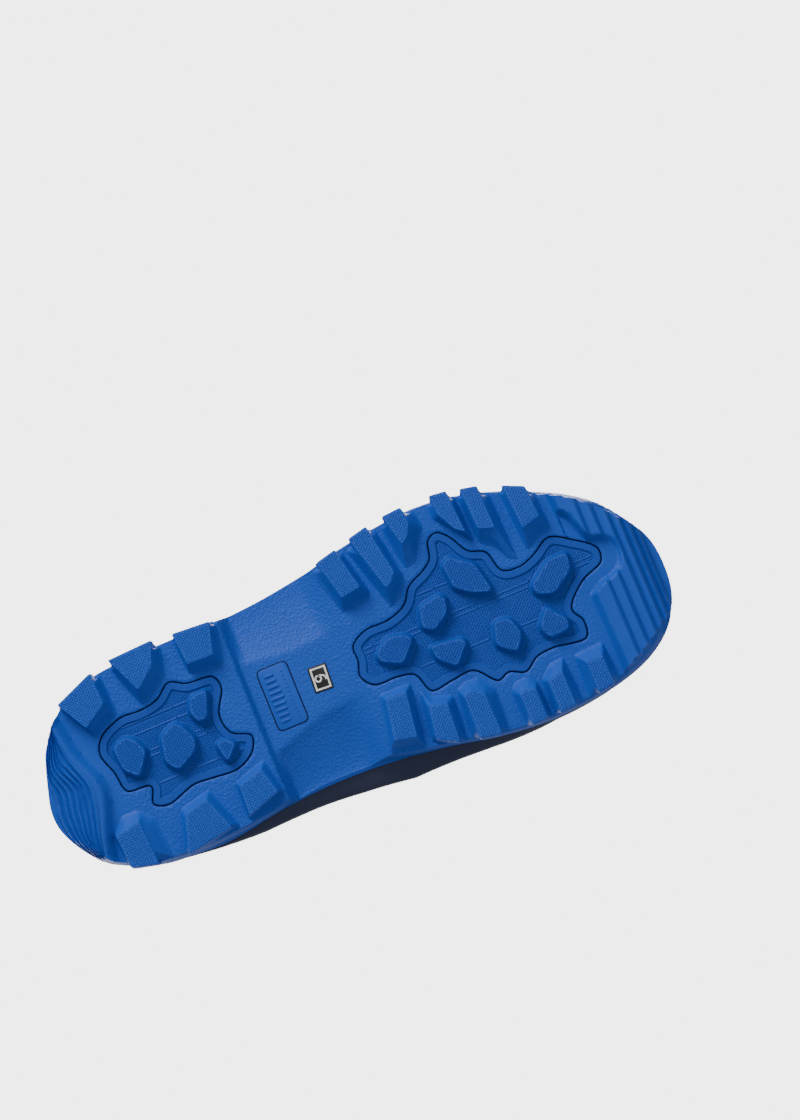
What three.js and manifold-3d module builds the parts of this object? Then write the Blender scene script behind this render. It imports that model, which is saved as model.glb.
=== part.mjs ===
// Rubber garden clog for the right foot, as the separate pieces it is made from.
// Millimetres. The clog stands on its lugs at Z = 0, the toe points to -Y and the inner side is +X.
// Plan points are [along, across]: along runs from the heel to the toe, across is positive inwards.
import * as THREE from "three";
import { mergeVertices } from "three/addons/utils/BufferGeometryUtils.js";
import Module from "manifold-3d";

const wasm = await Module();
wasm.setup();

// ---- Driving dimensions -------------------------------------------------------------------
const GAP = 0.3; // clearance between neighbouring pieces
const MID_ALONG = 138.6; // plan point that lies over the origin
const MID_ACROSS = -3.982;
const AROUND = 40; // steps around every closed outline
const LUG_HEIGHT = 6.5; // ground to the sole's underside
const OUTSOLE_TOP = 16; // top of the blue sole's plate
const HEEL_TOP = 21.5; // top of the blue sole around the heel
const FLOOR_Z = 24; // inside floor of the midsole
const BAND_TOP = 32.5; // top of the midsole's side band
const FEATHER_Z = 30; // height where the upper starts to lean in
const SIDE_WALL = 5; // sole edge to the upper's outer face
const RAND_OUT = 2.1; // upper's outer face to the rand's outer face
const SHELL = 3.4; // rubber upper's thickness
const THIN_SHELL = 1.8; // upper's thickness over the stiffeners
const LINING_OUT = SHELL + GAP;
const LINING_IN = 5.8;
const COLLAR_BACK = 103; // heights of the upper's top edge
const COLLAR_SIDE = 96;
const COLLAR_FRONT = 126;
const COLLAR_HALF_WIDTH = 32;
const COLLAR_MIDDLE = [82, 1];
const COLLAR_HALF_LENGTH = 68;

// Blue toe cap and heel wall: height of the upper edge by distance from the toe's middle.
const CAP_MIDDLE = 2;
const CAP_STOPS = [[15, 57], [18, 52], [20.5, 40], [28, 30], [37, 24], [50, 17.5], [56, OUTSOLE_TOP]];
const BAND_STOPS = [[22, 25], [27, 40.5], [34, 39.5], [54, BAND_TOP]];
const WALL_FOOT = 12; // the upturned walls start inside the sole's plate
const TOE_WALL = [12, 28]; // first and last station of each upturned wall
const HEEL_WALL = [-8, 8];

// Tread inserts, badge and size label.
const INSERT_PLATE = 1.6;
const POD_FACE_Z = 2.6;
const POD_DRAFT = 1.3;
const WAIST_Z = 10.4;
const TRIM_DEPTH = 1.2;
const BADGE = { along: [100.5, 114], across: [-16.5, 11.4], radius: 2.2, z: WAIST_Z - 0.4 };
const LABEL = { along: [121.2, 129.8], across: [-9.2, 2.4], radius: 0.6, z: WAIST_Z - 0.6 };

// Waist: how far each side is pulled in, and the arch under it.
const WAIST_PULL = { inner: 5, outer: 2 };
const WAIST_ARCH = [[93, 6.3], [96, 9.5], [116, 11], [134, 9], [142, 6.3]];

// Inside: turned-in edge of the upper, board, footbed and stiffeners.
const UPPER_FOOT = FLOOR_Z + GAP;
const FLANGE = 2;
const FLANGE_WIDTH = 12;
const LINING_FOOT = UPPER_FOOT + FLANGE + GAP;
const BOARD_THICK = 2;
const BOARD_Z = LINING_FOOT;
const BED_Z = BOARD_Z + BOARD_THICK + GAP;
const BED_RIM = 8.5;
const BED_HOLLOW = 6;
const COVER_THICK = 1.2;
const STIFFENER_THICK = 0.9;
const STIFFENER_FOOT = 32;
const STIFFENERS = {
  heel: { stations: [-6, 6], top: 60 },
  toe: { stations: [15, 25], top: 62 },
};

// Rand and heel cup.
const HEEL_CUP_STATIONS = [-8, 8];
const TRIM_FOOT = FLOOR_Z + 1;

// Fineness of the walls: rows up the upper, and the plates that patches are cut with.
const STATION_CROWDING = 0.5;
const WALL_ROWS = [0, 0.06, 0.13, 0.21, 0.3, 0.4, 0.52, 0.66, 0.82, 1];
const PATCH_ROWS = 6;
const PATCH_REACH = 7;

const COLOURS = {
  blue: 0x1f56b3,
  navy: 0x2f3a55,
  black: 0x232428,
  olive: 0x55564a,
  lining: 0x2c2f33,
  board: 0xb9a888,
  foam: 0x3a3d44,
  steel: 0xb4b7bb,
  label: 0x111214,
};

// ---- Outlines in plan ---------------------------------------------------------------------
// Edge of the midsole, from the back of the heel round the outer side to the toe and back.
const SOLE_EDGE = [
  [-3.3, 8], [-0.5, -7], [5, -22], [14, -34], [30, -41.5], [48, -43.8], [70, -44.2], [92, -44.6],
  [112, -46], [132, -48.8], [152, -52.4], [172, -55.6], [190, -57], [208, -55.3], [226, -50.4],
  [242, -43.5], [256, -35.6], [267, -25.6], [275, -14], [279.4, -3.8], [280.5, 7], [279, 19],
  [273.2, 30.4], [262, 40], [246, 47], [228, 50.4], [208, 51.3], [188, 49.5], [168, 45.6],
  [148, 42.8], [128, 41.3], [108, 41.3], [90, 42.8], [72, 44.8], [50, 45.6], [30, 44.2],
  [14, 37.5], [4, 26.5], [-1.4, 17],
];
const FOREFOOT_INSERT = [
  [141.5, 3], [143.2, -3.5], [143.6, -10.5], [151, -15], [163, -15.6], [171, -19], [176, -25.6],
  [184, -29.5], [188.5, -33], [191.2, -41], [196, -42.9], [201, -38.7], [205.8, -30.4],
  [213, -26.5], [216.5, -16.5], [224, -15.2], [231, -17.4], [240, -22.2], [250, -17],
  [258.5, -9.5], [257.5, -3.2], [246.7, 1.7], [238, 11], [240.8, 17.5], [239, 25], [224, 23.7],
  [216, 24.6], [209, 28.8], [202, 26.1], [196.5, 27.8], [188, 19.6], [178, 20.1], [168, 20.8],
  [163.8, 11.5], [157, 9.6], [146, 8.9],
];
const HEEL_INSERT = [
  [24.2, -9], [27.5, -15.8], [38, -20.6], [48, -20.4], [56, -22], [63.5, -27], [71, -23.6],
  [82.5, -22], [84.6, -16], [79.3, -5], [81, 3.6], [89, 8.5], [86.5, 15.4], [78, 20], [67, 19.6],
  [58, 19], [44, 22.9], [38, 20], [39.8, 12.5], [29.5, 10.6], [27.2, 1],
];

// Ground face of each lug and the run of its sloping walls, one figure for each side.
const LUGS = {
  heelOuter: [
    { face: [[15.8, -35.2], [34, -42.8], [35, -28], [23.8, -21]], runs: [0.5, 2.6, 5.2, 1.6] },
    { face: [[43.2, -44.9], [63.8, -45.9], [60.4, -35.3], [50.8, -27.7]], runs: [1, 3, 5.6, 1.4] },
    { face: [[73.2, -44.9], [90.4, -43.8], [86.7, -29.5], [74.6, -29.9]], runs: [1, 2.2, 4, 1.2] },
  ],
  heelInner: [
    { face: [[20, 42.2], [18.6, 26.8], [30.4, 24.7], [31.7, 45]], runs: [1.2, 5, 5.4, 0.5] },
    { face: [[45, 46], [49.6, 30], [60.8, 26.8], [66.7, 42.6]], runs: [0.8, 3.8, 2.2, 0.5] },
    { face: [[75.4, 41], [76, 27.2], [87.5, 23.8], [90.8, 36]], runs: [0.8, 3.6, 2.2, 0.5] },
  ],
  foreOuter: [
    { face: [[142.9, -49.5], [152.5, -51.8], [156.7, -32.4], [147.5, -30.8]], runs: [1, 2.6, 4.6, 2] },
    { face: [[159.6, -53.9], [168.8, -56], [172.9, -32.8], [167, -27.8]], runs: [1, 2.8, 7, 2] },
    { face: [[176.7, -57.3], [185.8, -58], [186.7, -50.3], [180.4, -42.4]], runs: [1, 4, 8, 2] },
    { face: [[199, -57.8], [206.7, -57], [208, -37], [200, -47.5]], runs: [1, 2, 3, 2] },
    { face: [[212.5, -55.5], [220, -53.9], [220.4, -33.7], [213.3, -36.2]], runs: [1, 3.6, 12, 2] },
    { face: [[230, -49.9], [239.2, -45.8], [240, -31.2], [231.3, -29]], runs: [1, 2.8, 6, 1.6] },
  ],
  foreInner: [
    { face: [[145, 35], [148.3, 16.8], [157.9, 16.8], [155, 37.2]], runs: [2, 3.6, 2.6, 1] },
    { face: [[162, 41.3], [164.2, 26.3], [172.5, 28.4], [171.3, 46]], runs: [2, 4, 3, 1] },
    { face: [[179.6, 48], [180, 28.4], [188.3, 28.4], [189.2, 49.4]], runs: [2.4, 5, 4.4, 0.6] },
    { face: [[202.5, 50.6], [202.5, 36.6], [210, 36.6], [210, 50.6]], runs: [2.2, 5, 1.8, 0.4] },
    { face: [[215.8, 50.4], [215.8, 35], [223.3, 35], [223.3, 50]], runs: [2, 5.4, 3.2, 0.4] },
    { face: [[234.2, 48.6], [234.2, 34.7], [242, 34.7], [242, 47.2]], runs: [3.6, 5.2, 2.8, 0.4] },
  ],
};
const FOREFOOT_PODS = [
  [[151.8, -2.4], [158.8, -7.8], [166.7, -5.8], [169.2, -2.8], [161.3, 5.9], [152.5, 1.3]],
  [[176.7, -14.5], [186.7, -16.2], [188.8, -13.7], [187.5, -7.8], [179.2, -2.4], [174.6, -5.3]],
  [[192.9, -27.4], [196.7, -30], [206.3, -22.8], [209.2, -8.5], [200.8, -11.2], [193.8, -16.2]],
  [[174.6, 3], [188.8, 5], [190, 7.6], [182.5, 16], [175.4, 9.7]],
  [[204.2, 3.8], [211.3, 4.7], [213.8, 13], [208.8, 20], [201.3, 14]],
  [[225.4, -4.5], [235.8, -12], [245, -12.4], [243.8, -4.5], [233.3, 2.6], [226, 0]],
  [[227.5, 6.3], [234.2, 14.7], [233.4, 19], [224.2, 20], [221.5, 14]],
];
const HEEL_PODS = [
  [[30.8, -8.7], [36.7, -11], [41, -9], [44.2, -2], [37.5, 7.6], [32, 2.5]],
  [[52, -5.2], [59.2, -8.7], [62.5, -6.2], [65.8, 1.3], [64.2, 6], [54.2, 11.3], [50, 6]],
  [[70, -16.2], [78.3, -17], [74.2, -5.3], [70, -4.5], [67.5, -10]],
  [[72.9, 6.3], [79.2, 6.8], [81.3, 10], [75, 16.3]],
];
// Front edge of the heel's ribbed bumper, and the crests of the toe's ribs with their heights.
const HEEL_BUMPER_EDGE = [[9.5, -40], [9.8, -29], [13, -12], [19, 5], [12.5, 28], [12, 44]];
const HEEL_RIB_PITCH = 3.6;
const HEEL_RIB_HEIGHTS = [3.5, 6, 9, 12.5];
const TOE_BUMPER_START = 249.5;
const TOE_RIBS = [[256, 3], [261.5, 4.8], [267, 7.2], [271.5, 10], [275, 13.4]];
const BUMPER_Z = 1.4;

// ---- Plan helpers -------------------------------------------------------------------------
const plan = ([along, across]) => new THREE.Vector2(across - MID_ACROSS, MID_ALONG - along);
const alongOf = (point) => MID_ALONG - point.y;
const acrossOf = (point) => point.x + MID_ACROSS;
const smooth = (x, from, to) => THREE.MathUtils.smoothstep(x, from, to);
const mix = THREE.MathUtils.lerp;

// Value of y at x along a list of [x, y] stops.
function ramp(x, stops) {
  if (x <= stops[0][0]) return stops[0][1];
  for (let i = 1; i < stops.length; i += 1) {
    const [x1, y1] = stops[i];
    const [x0, y0] = stops[i - 1];
    if (x <= x1) return mix(y0, y1, (x - x0) / (x1 - x0));
  }
  return stops[stops.length - 1][1];
}

function roundCurve(points) {
  const places = points.map((p) => new THREE.Vector3(plan(p).x, plan(p).y, 0));
  const curve = new THREE.CatmullRomCurve3(places, true, "centripetal");
  curve.arcLengthDivisions = 1200;
  return curve;
}

const soleCurve = roundCurve(SOLE_EDGE);
const TOE_SHARE = (() => {
  let best = 0.5;
  for (let u = 0.4; u < 0.6; u += 0.001) {
    if (soleCurve.getPointAt(u).y < soleCurve.getPointAt(best).y) best = u;
  }
  return best;
})();

// Point and outward direction of the sole's edge: u = 0 is the heel's back and 0.5 the toe's tip.
function edge(u) {
  const turn = ((u % 1) + 1) % 1;
  const share = turn < 0.5 ? 2 * turn * TOE_SHARE : TOE_SHARE + (2 * turn - 1) * (1 - TOE_SHARE);
  const point = soleCurve.getPointAt(share);
  const tangent = soleCurve.getTangentAt(share);
  return { point: new THREE.Vector2(point.x, point.y), out: new THREE.Vector2(tangent.y, -tangent.x) };
}

// ---- The upper's surface ------------------------------------------------------------------
// Profile of the upper at u: v = 0 at the feather line, v = 1 at the collar, v < 0 straight down.
function profile(u) {
  const foot = edge(u);
  const base = foot.point.clone().addScaledVector(foot.out, -SIDE_WALL);
  const turn = 2 * Math.PI * u;
  const side = Math.sin(turn);
  const toeward = Math.pow((1 - Math.cos(turn)) / 2, 1.6);
  const rise = Math.cos(turn) > 0 ? COLLAR_BACK : COLLAR_FRONT;
  const collarZ = COLLAR_SIDE + (rise - COLLAR_SIDE) * Math.cos(turn) ** 2;
  const collar = plan([
    COLLAR_MIDDLE[0] - COLLAR_HALF_LENGTH * Math.cos(turn),
    COLLAR_MIDDLE[1] - COLLAR_HALF_WIDTH * Math.sign(side) * Math.abs(side) ** 0.85,
  ]);
  const start = new THREE.Vector3(base.x, base.y, FEATHER_Z);
  const end = new THREE.Vector3(collar.x, collar.y, collarZ);
  const up = start.clone().setZ(FEATHER_Z + mix(20, 37, toeward));
  const lean = mix(0.12, 0.44, toeward);
  const drop = mix(0.38, 0.57, toeward);
  const down = new THREE.Vector3(
    mix(end.x, start.x, lean), mix(end.y, start.y, lean), mix(end.z, start.z, drop));
  return new THREE.CubicBezierCurve3(start, up, down, end);
}

// Stations around the foot, closer together at the heel and the toe.
function station(i) {
  const share = i / AROUND;
  return share - (STATION_CROWDING * Math.sin(4 * Math.PI * share)) / (4 * Math.PI);
}
const profiles = new Map();
function profileAt(u) {
  const key = Math.round((((u % 1) + 1) % 1) * 1e6);
  if (!profiles.has(key)) profiles.set(key, profile(u));
  return profiles.get(key);
}

function skin(u, v) {
  const curve = profileAt(u);
  if (v >= 0) return curve.getPoint(Math.min(v, 1));
  const start = curve.v0.clone();
  return start.setZ(start.z + v * 100);
}

// Point of the skin at (u, v), moved out of it by `offset`.
function onSkin(u, v, offset) {
  const step = 0.002;
  const du = skin(u + step, v).sub(skin(u - step, v));
  const dv = v < 0 ? new THREE.Vector3(0, 0, 1) : skin(u, Math.min(v + step, 1)).sub(skin(u, v - step));
  const normal = du.cross(dv).normalize();
  return skin(u, v).addScaledVector(normal, offset);
}

// v at which the skin reaches a height.
function vAt(u, z) {
  if (z <= FEATHER_Z) return (z - FEATHER_Z) / 100;
  let low = 0;
  let high = 1;
  for (let i = 0; i < 24; i += 1) {
    const middle = (low + high) / 2;
    if (skin(u, middle).z < z) low = middle;
    else high = middle;
  }
  return low;
}

// ---- Solids -------------------------------------------------------------------------------
function meshOf(points, triangles) {
  const geometry = new THREE.BufferGeometry();
  const flat = new Float32Array(points.length * 3);
  points.forEach((p, i) => p.toArray(flat, i * 3));
  geometry.setAttribute("position", new THREE.BufferAttribute(flat, 3));
  let volume = 0;
  triangles.forEach(([a, b, c]) => {
    volume += points[a].dot(new THREE.Vector3().crossVectors(points[b], points[c]));
  });
  const facing = volume < 0 ? triangles.map(([a, b, c]) => [a, c, b]) : triangles;
  geometry.setIndex(facing.flat());
  return geometry;
}

function quad(a, b, c, d) {
  return [[a, b, c], [a, c, d]];
}

// Two ways to fill a ring: across from side to side for the foot-shaped ones, ear by ear for others.
function zipper() {
  const triangles = [[0, 1, AROUND - 1], [AROUND / 2 - 1, AROUND / 2, AROUND / 2 + 1]];
  for (let i = 1; i < AROUND / 2 - 1; i += 1) {
    triangles.push(...quad(i, i + 1, AROUND - i - 1, AROUND - i));
  }
  return triangles;
}

function earCut(ring) {
  return THREE.ShapeUtils.triangulateShape(ring.map((p) => new THREE.Vector2(p.x, p.y)), []);
}

// Closed rings joined in turn. `closed` joins the last ring to the first, otherwise both are capped.
function loft(ringsAnyWay, closed = false) {
  const clockwise = THREE.ShapeUtils.area(ringsAnyWay[0]) < 0;
  const rings = clockwise ? ringsAnyWay.map((ring) => [...ring].reverse()) : ringsAnyWay;
  const count = rings[0].length;
  const triangles = [];
  const last = closed ? rings.length : rings.length - 1;
  for (let r = 0; r < last; r += 1) {
    const next = (r + 1) % rings.length;
    for (let i = 0; i < count; i += 1) {
      const j = (i + 1) % count;
      triangles.push(...quad(r * count + i, r * count + j, next * count + j, next * count + i));
    }
  }
  if (!closed) {
    const cap = count === AROUND ? zipper : earCut;
    cap(rings[0]).forEach(([a, b, c]) => triangles.push([a, c, b]));
    const top = (rings.length - 1) * count;
    cap(rings[rings.length - 1]).forEach(([a, b, c]) => triangles.push([top + a, top + b, top + c]));
  }
  return meshOf(rings.flat(), triangles);
}

// Curved plate between two grids of points with the same rows and columns.
function plate(outer, inner) {
  const rows = outer.length;
  const columns = outer[0].length;
  const id = (side, r, c) => side * rows * columns + r * columns + c;
  const triangles = [];
  for (let r = 0; r < rows - 1; r += 1) {
    for (let c = 0; c < columns - 1; c += 1) {
      triangles.push(...quad(id(0, r, c), id(0, r, c + 1), id(0, r + 1, c + 1), id(0, r + 1, c)));
      triangles.push(...quad(id(1, r, c), id(1, r + 1, c), id(1, r + 1, c + 1), id(1, r, c + 1)));
    }
  }
  for (let c = 0; c < columns - 1; c += 1) {
    triangles.push(...quad(id(0, 0, c), id(1, 0, c), id(1, 0, c + 1), id(0, 0, c + 1)));
    const last = rows - 1;
    triangles.push(...quad(id(0, last, c), id(0, last, c + 1), id(1, last, c + 1), id(1, last, c)));
  }
  for (let r = 0; r < rows - 1; r += 1) {
    triangles.push(...quad(id(0, r, 0), id(0, r + 1, 0), id(1, r + 1, 0), id(1, r, 0)));
    const end = columns - 1;
    triangles.push(...quad(id(0, r, end), id(1, r, end), id(1, r + 1, end), id(0, r + 1, end)));
  }
  return meshOf([...outer.flat(), ...inner.flat()], triangles);
}

// Thick plate that follows the skin from station `first` to `last`, between two heights.
// It is only used to cut a patch out of a wall, so it reaches well past the wall's two faces.
function patch(first, last, low, high) {
  const grid = (offset) => {
    const lines = [];
    for (let r = 0; r <= PATCH_ROWS; r += 1) {
      const line = [];
      for (let i = first; i <= last; i += 1) {
        const u = station(i);
        line.push(onSkin(u, mix(vAt(u, low(u)), vAt(u, high(u)), r / PATCH_ROWS), offset));
      }
      lines.push(line);
    }
    return lines;
  };
  return solid(plate(grid(PATCH_REACH), grid(-PATCH_REACH)));
}

// Wall all round the foot between two offsets from the skin, from the height `foot` to the collar.
function wall(outer, inside, foot) {
  const rings = (offset) => [
    skinRing(foot, offset), ...WALL_ROWS.map((v) => ringAround((u) => onSkin(u, v, offset))),
  ];
  const levels = WALL_ROWS.length + 1;
  const id = (face, level, i) => (face * levels + level) * AROUND + (i % AROUND);
  const triangles = [];
  for (let i = 0; i < AROUND; i += 1) {
    for (let level = 0; level < levels - 1; level += 1) {
      const corners = (face) => [
        id(face, level, i), id(face, level, i + 1), id(face, level + 1, i + 1), id(face, level + 1, i),
      ];
      const facingIn = quad(...corners(1)).map(([a, b, c]) => [a, c, b]);
      triangles.push(...quad(...corners(0)), ...facingIn);
    }
    const top = levels - 1;
    triangles.push(...quad(id(1, 0, i), id(1, 0, i + 1), id(0, 0, i + 1), id(0, 0, i)));
    triangles.push(...quad(id(0, top, i), id(0, top, i + 1), id(1, top, i + 1), id(1, top, i)));
  }
  return solid(meshOf([...rings(outer), ...rings(inside)].flat(), triangles));
}

function solid(geometry) {
  const bare = geometry.clone();
  bare.deleteAttribute("normal");
  bare.deleteAttribute("uv");
  const merged = mergeVertices(bare, 1e-4);
  const vertProperties = new Float32Array(merged.attributes.position.array);
  const triVerts = new Uint32Array(merged.index.array);
  return new wasm.Manifold(new wasm.Mesh({ numProp: 3, vertProperties, triVerts }));
}

function geometryOf(body) {
  const { vertProperties, triVerts } = body.getMesh();
  const geometry = new THREE.BufferGeometry();
  geometry.setAttribute("position", new THREE.BufferAttribute(new Float32Array(vertProperties), 3));
  geometry.setIndex(new THREE.BufferAttribute(new Uint32Array(triVerts), 1));
  return geometry;
}

const at = (point, z) => new THREE.Vector3(point.x, point.y, z);
const ringAround = (make) => Array.from({ length: AROUND }, (_, i) => make(station(i)));
const edgeRing = (z, inset, pull = 0) => ringAround((u) => {
  const { point, out } = edge(u);
  const waist = smooth(alongOf(point), 84, 112) * (1 - smooth(alongOf(point), 126, 156));
  const side = acrossOf(point) > 0 ? WAIST_PULL.inner : WAIST_PULL.outer;
  const narrow = waist * side * pull;
  return at(point.clone().addScaledVector(out, -inset - narrow), z);
});
const skinRing = (z, offset) => ringAround((u) => onSkin(u, vAt(u, z), offset).setZ(z));

// Block with a plan outline, between two heights.
const block = (points, z0, z1) => loft([z0, z1].map((z) => points.map((p) => at(plan(p), z))));

function curvedBlock(curve, inset, z0, z1, count = 72) {
  const points = Array.from({ length: count }, (_, i) => {
    const point = curve.getPointAt(i / count);
    const tangent = curve.getTangentAt(i / count);
    return new THREE.Vector2(point.x - tangent.y * inset, point.y + tangent.x * inset);
  });
  return loft([points.map((p) => at(p, z0)), points.map((p) => at(p, z1))]);
}

// Polygon whose sides are moved outwards by their own runs.
function spread(points, runs) {
  const corners = points.map(plan);
  const count = corners.length;
  const turn = Math.sign(THREE.ShapeUtils.area(corners));
  const sides = corners.map((a, i) => {
    const b = corners[(i + 1) % count];
    const d = b.clone().sub(a).normalize();
    const out = new THREE.Vector2(d.y, -d.x).multiplyScalar(turn);
    return { start: a.clone().addScaledVector(out, runs[i]), d };
  });
  return sides.map((side, i) => {
    const last = sides[(i + count - 1) % count];
    const gap = side.start.clone().sub(last.start);
    const k = gap.cross(side.d) / last.d.cross(side.d);
    return last.start.clone().addScaledVector(last.d, k);
  });
}

function frustum(face, runs, faceZ, rootZ, sink) {
  const root = spread(face, runs);
  return loft([
    face.map((p) => at(plan(p), faceZ)),
    root.map((p) => at(p, rootZ)),
    root.map((p) => at(p, rootZ + sink)),
  ]);
}

// ---- Outsole ------------------------------------------------------------------------------
// Height of the blue sole's upper edge.
function outsoleTop(u, grow = 0) {
  const { point } = edge(u);
  const along = alongOf(point);
  if (along > 190) return ramp(Math.abs(acrossOf(point) - CAP_MIDDLE) - grow, CAP_STOPS) + grow;
  return mix(HEEL_TOP, OUTSOLE_TOP, smooth(along, 30, 95)) + grow;
}

function halfPlane(curvePoints, farAlong, z0, z1) {
  return block([...curvePoints, [farAlong, 90], [farAlong, -90]], z0, z1);
}

function makeOutsole() {
  const plateSolid = loft([
    edgeRing(LUG_HEIGHT, 1, 1), edgeRing(LUG_HEIGHT + 2, 0.3, 1), edgeRing(OUTSOLE_TOP, 0, 0.25),
  ]);
  let body = solid(plateSolid);

  const low = WAIST_ARCH.map(([along, z]) => new THREE.Vector3(-80, plan([along, 0]).y, z));
  const high = WAIST_ARCH.map(([along, z]) => new THREE.Vector3(80, plan([along, 0]).y, z));
  body = body.subtract(solid(archCut(low, high)));

  const bumperPlate = solid(loft([edgeRing(BUMPER_Z, 1.2), edgeRing(LUG_HEIGHT + 3, 0.3)]));
  const beyondToe = solid(block([
    [TOE_BUMPER_START, -90], [TOE_BUMPER_START, 90], [320, 90], [320, -90]], -5, 40));
  const behindHeel = solid(halfPlane(HEEL_BUMPER_EDGE, -40, -5, 40));
  body = body.add(bumperPlate.intersect(beyondToe)).add(bumperPlate.intersect(behindHeel));
  TOE_RIBS.forEach(([along, z]) => {
    body = body.subtract(solid(block([[along, -90], [along, 90], [320, 90], [320, -90]], -5, z)));
  });
  HEEL_RIB_HEIGHTS.forEach((z, i) => {
    const shifted = HEEL_BUMPER_EDGE.map(([along, across]) => [along - HEEL_RIB_PITCH * (i + 1), across]);
    body = body.subtract(solid(halfPlane(shifted, -40, -5, z)));
  });

  Object.values(LUGS).flat().forEach(({ face, runs }) => {
    body = body.add(solid(frustum(face, runs, 0, LUG_HEIGHT + 0.2, 2)));
  });
  const upturned = wall(SIDE_WALL - 0.02, RAND_OUT + GAP, WALL_FOOT);
  [TOE_WALL, HEEL_WALL].forEach(([first, last]) => {
    body = body.add(upturned.intersect(patch(first, last, () => WALL_FOOT - 1, (u) => outsoleTop(u))));
  });

  const pocketTop = LUG_HEIGHT + INSERT_PLATE + GAP;
  body = body.subtract(solid(curvedBlock(forefootCurve, 0, -1, pocketTop)));
  body = body.subtract(solid(curvedBlock(heelCurve, 0, -1, pocketTop)));
  body = body.subtract(solid(roundedBlock(BADGE, GAP, 5, WAIST_Z + TRIM_DEPTH + GAP)));
  body = body.subtract(solid(roundedBlock(LABEL, GAP, 5, WAIST_Z + TRIM_DEPTH + GAP)));
  return geometryOf(body);
}

// Wedge under an arch line, open downwards.
function archCut(low, high) {
  const bottom = (line) => [line[line.length - 1].clone().setZ(-5), line[0].clone().setZ(-5)];
  const left = [...low, ...bottom(low)];
  const right = [...high, ...bottom(high)];
  const count = left.length;
  const triangles = [];
  for (let i = 0; i < count; i += 1) {
    const j = (i + 1) % count;
    triangles.push(...quad(i, j, count + j, count + i));
  }
  const faces = THREE.ShapeUtils.triangulateShape(left.map((p) => new THREE.Vector2(p.y, p.z)), []);
  faces.forEach(([a, b, c]) => triangles.push([a, c, b], [count + a, count + b, count + c]));
  return meshOf([...left, ...right], triangles);
}

const forefootCurve = roundCurve(FOREFOOT_INSERT);
const heelCurve = roundCurve(HEEL_INSERT);

function roundedBlock({ along, across, radius }, grow, z0, z1) {
  const points = [];
  const corners = [[1, -1], [1, 1], [0, 1], [0, -1]];
  corners.forEach(([far, inner], i) => {
    for (let k = 0; k <= 4; k += 1) {
      const angle = -Math.PI / 2 + (i + k / 4) * (Math.PI / 2);
      const a = along[far] + (far ? -radius : radius) + (radius + grow) * Math.cos(angle);
      const c = (inner < 0 ? across[0] + radius : across[1] - radius) + (radius + grow) * Math.sin(angle);
      points.push([a, c]);
    }
  });
  return block(points, z0, z1);
}

function makeInsert(curve, pods) {
  let body = solid(curvedBlock(curve, GAP, LUG_HEIGHT, LUG_HEIGHT + INSERT_PLATE));
  pods.forEach((face) => {
    body = body.add(solid(frustum(face, face.map(() => POD_DRAFT), POD_FACE_Z, LUG_HEIGHT + 0.1, 1)));
  });
  return geometryOf(body);
}

// ---- Midsole and inner sole ---------------------------------------------------------------
// Height of the navy band's upper edge: it climbs towards the blue toe cap.
function bandTop(u) {
  const { point } = edge(u);
  if (alongOf(point) < 190) return BAND_TOP;
  return ramp(Math.abs(acrossOf(point) - CAP_MIDDLE), BAND_STOPS);
}

function makeMidsole() {
  const slab = solid(loft([
    edgeRing(OUTSOLE_TOP + GAP, 0.1, 0.2), edgeRing(FLOOR_Z, 0.1),
  ]));
  const band = wall(SIDE_WALL - 0.1, RAND_OUT + GAP, FLOOR_Z - 3);
  const half = (first, last) => patch(first, last, () => FLOOR_Z - 4, bandTop);
  const clear = ([first, last]) => patch(first, last, () => WALL_FOOT, (u) => outsoleTop(u, 2 * GAP));
  const cup = slab.add(band.intersect(half(0, AROUND / 2).add(half(AROUND / 2, AROUND))));
  const walls = wall(SIDE_WALL + 3, RAND_OUT - 0.1, WALL_FOOT);
  const gone = walls.intersect(clear(TOE_WALL).add(clear(HEEL_WALL)));
  return geometryOf(cup.subtract(gone));
}

const fromToe = (u) => Math.abs((((u % 1) + 1) % 1) - 0.5);
const inner = (offset) => -(LINING_IN + GAP + offset);

function makeBoard() {
  return loft([skinRing(BOARD_Z, inner(0)), skinRing(BOARD_Z + BOARD_THICK, inner(0))]);
}

function makeShank() {
  return block([[62, -7], [62, 7], [150, 6], [150, -8]], UPPER_FOOT, UPPER_FOOT + FLANGE);
}

function dished(z0, rim, hollow, slack) {
  return [skinRing(z0 + rim, inner(slack)), skinRing(z0 + rim - 0.4, inner(slack + 4)),
    skinRing(z0 + hollow, inner(slack + 13))];
}

function makeFootbed() {
  return loft([skinRing(BED_Z, inner(0.4)), ...dished(BED_Z, BED_RIM, BED_HOLLOW, 1.4)]);
}

function makeCover() {
  const under = dished(BED_Z + GAP, BED_RIM, BED_HOLLOW, 1.4);
  const over = dished(BED_Z + GAP + COVER_THICK, BED_RIM, BED_HOLLOW, 1.4);
  return loft([...under.reverse(), ...over]);
}

// ---- Upper, lining and stiffeners ---------------------------------------------------------
function stiffenerPatch({ stations: [first, last], top }, grow) {
  return patch(first - grow, last + grow, () => STIFFENER_FOOT - grow, () => top + grow);
}

function makeUpper() {
  const turnedIn = solid(loft([
    skinRing(UPPER_FOOT + FLANGE, -1), skinRing(UPPER_FOOT + FLANGE, -SHELL - FLANGE_WIDTH),
    skinRing(UPPER_FOOT, -SHELL - FLANGE_WIDTH), skinRing(UPPER_FOOT, -1),
  ], true));
  let body = wall(0, -SHELL, UPPER_FOOT).add(turnedIn);
  const recess = wall(-THIN_SHELL, -SHELL - 1, UPPER_FOOT);
  Object.values(STIFFENERS).forEach((stiffener) => {
    body = body.subtract(recess.intersect(stiffenerPatch(stiffener, 1)));
  });
  return geometryOf(body);
}

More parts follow.
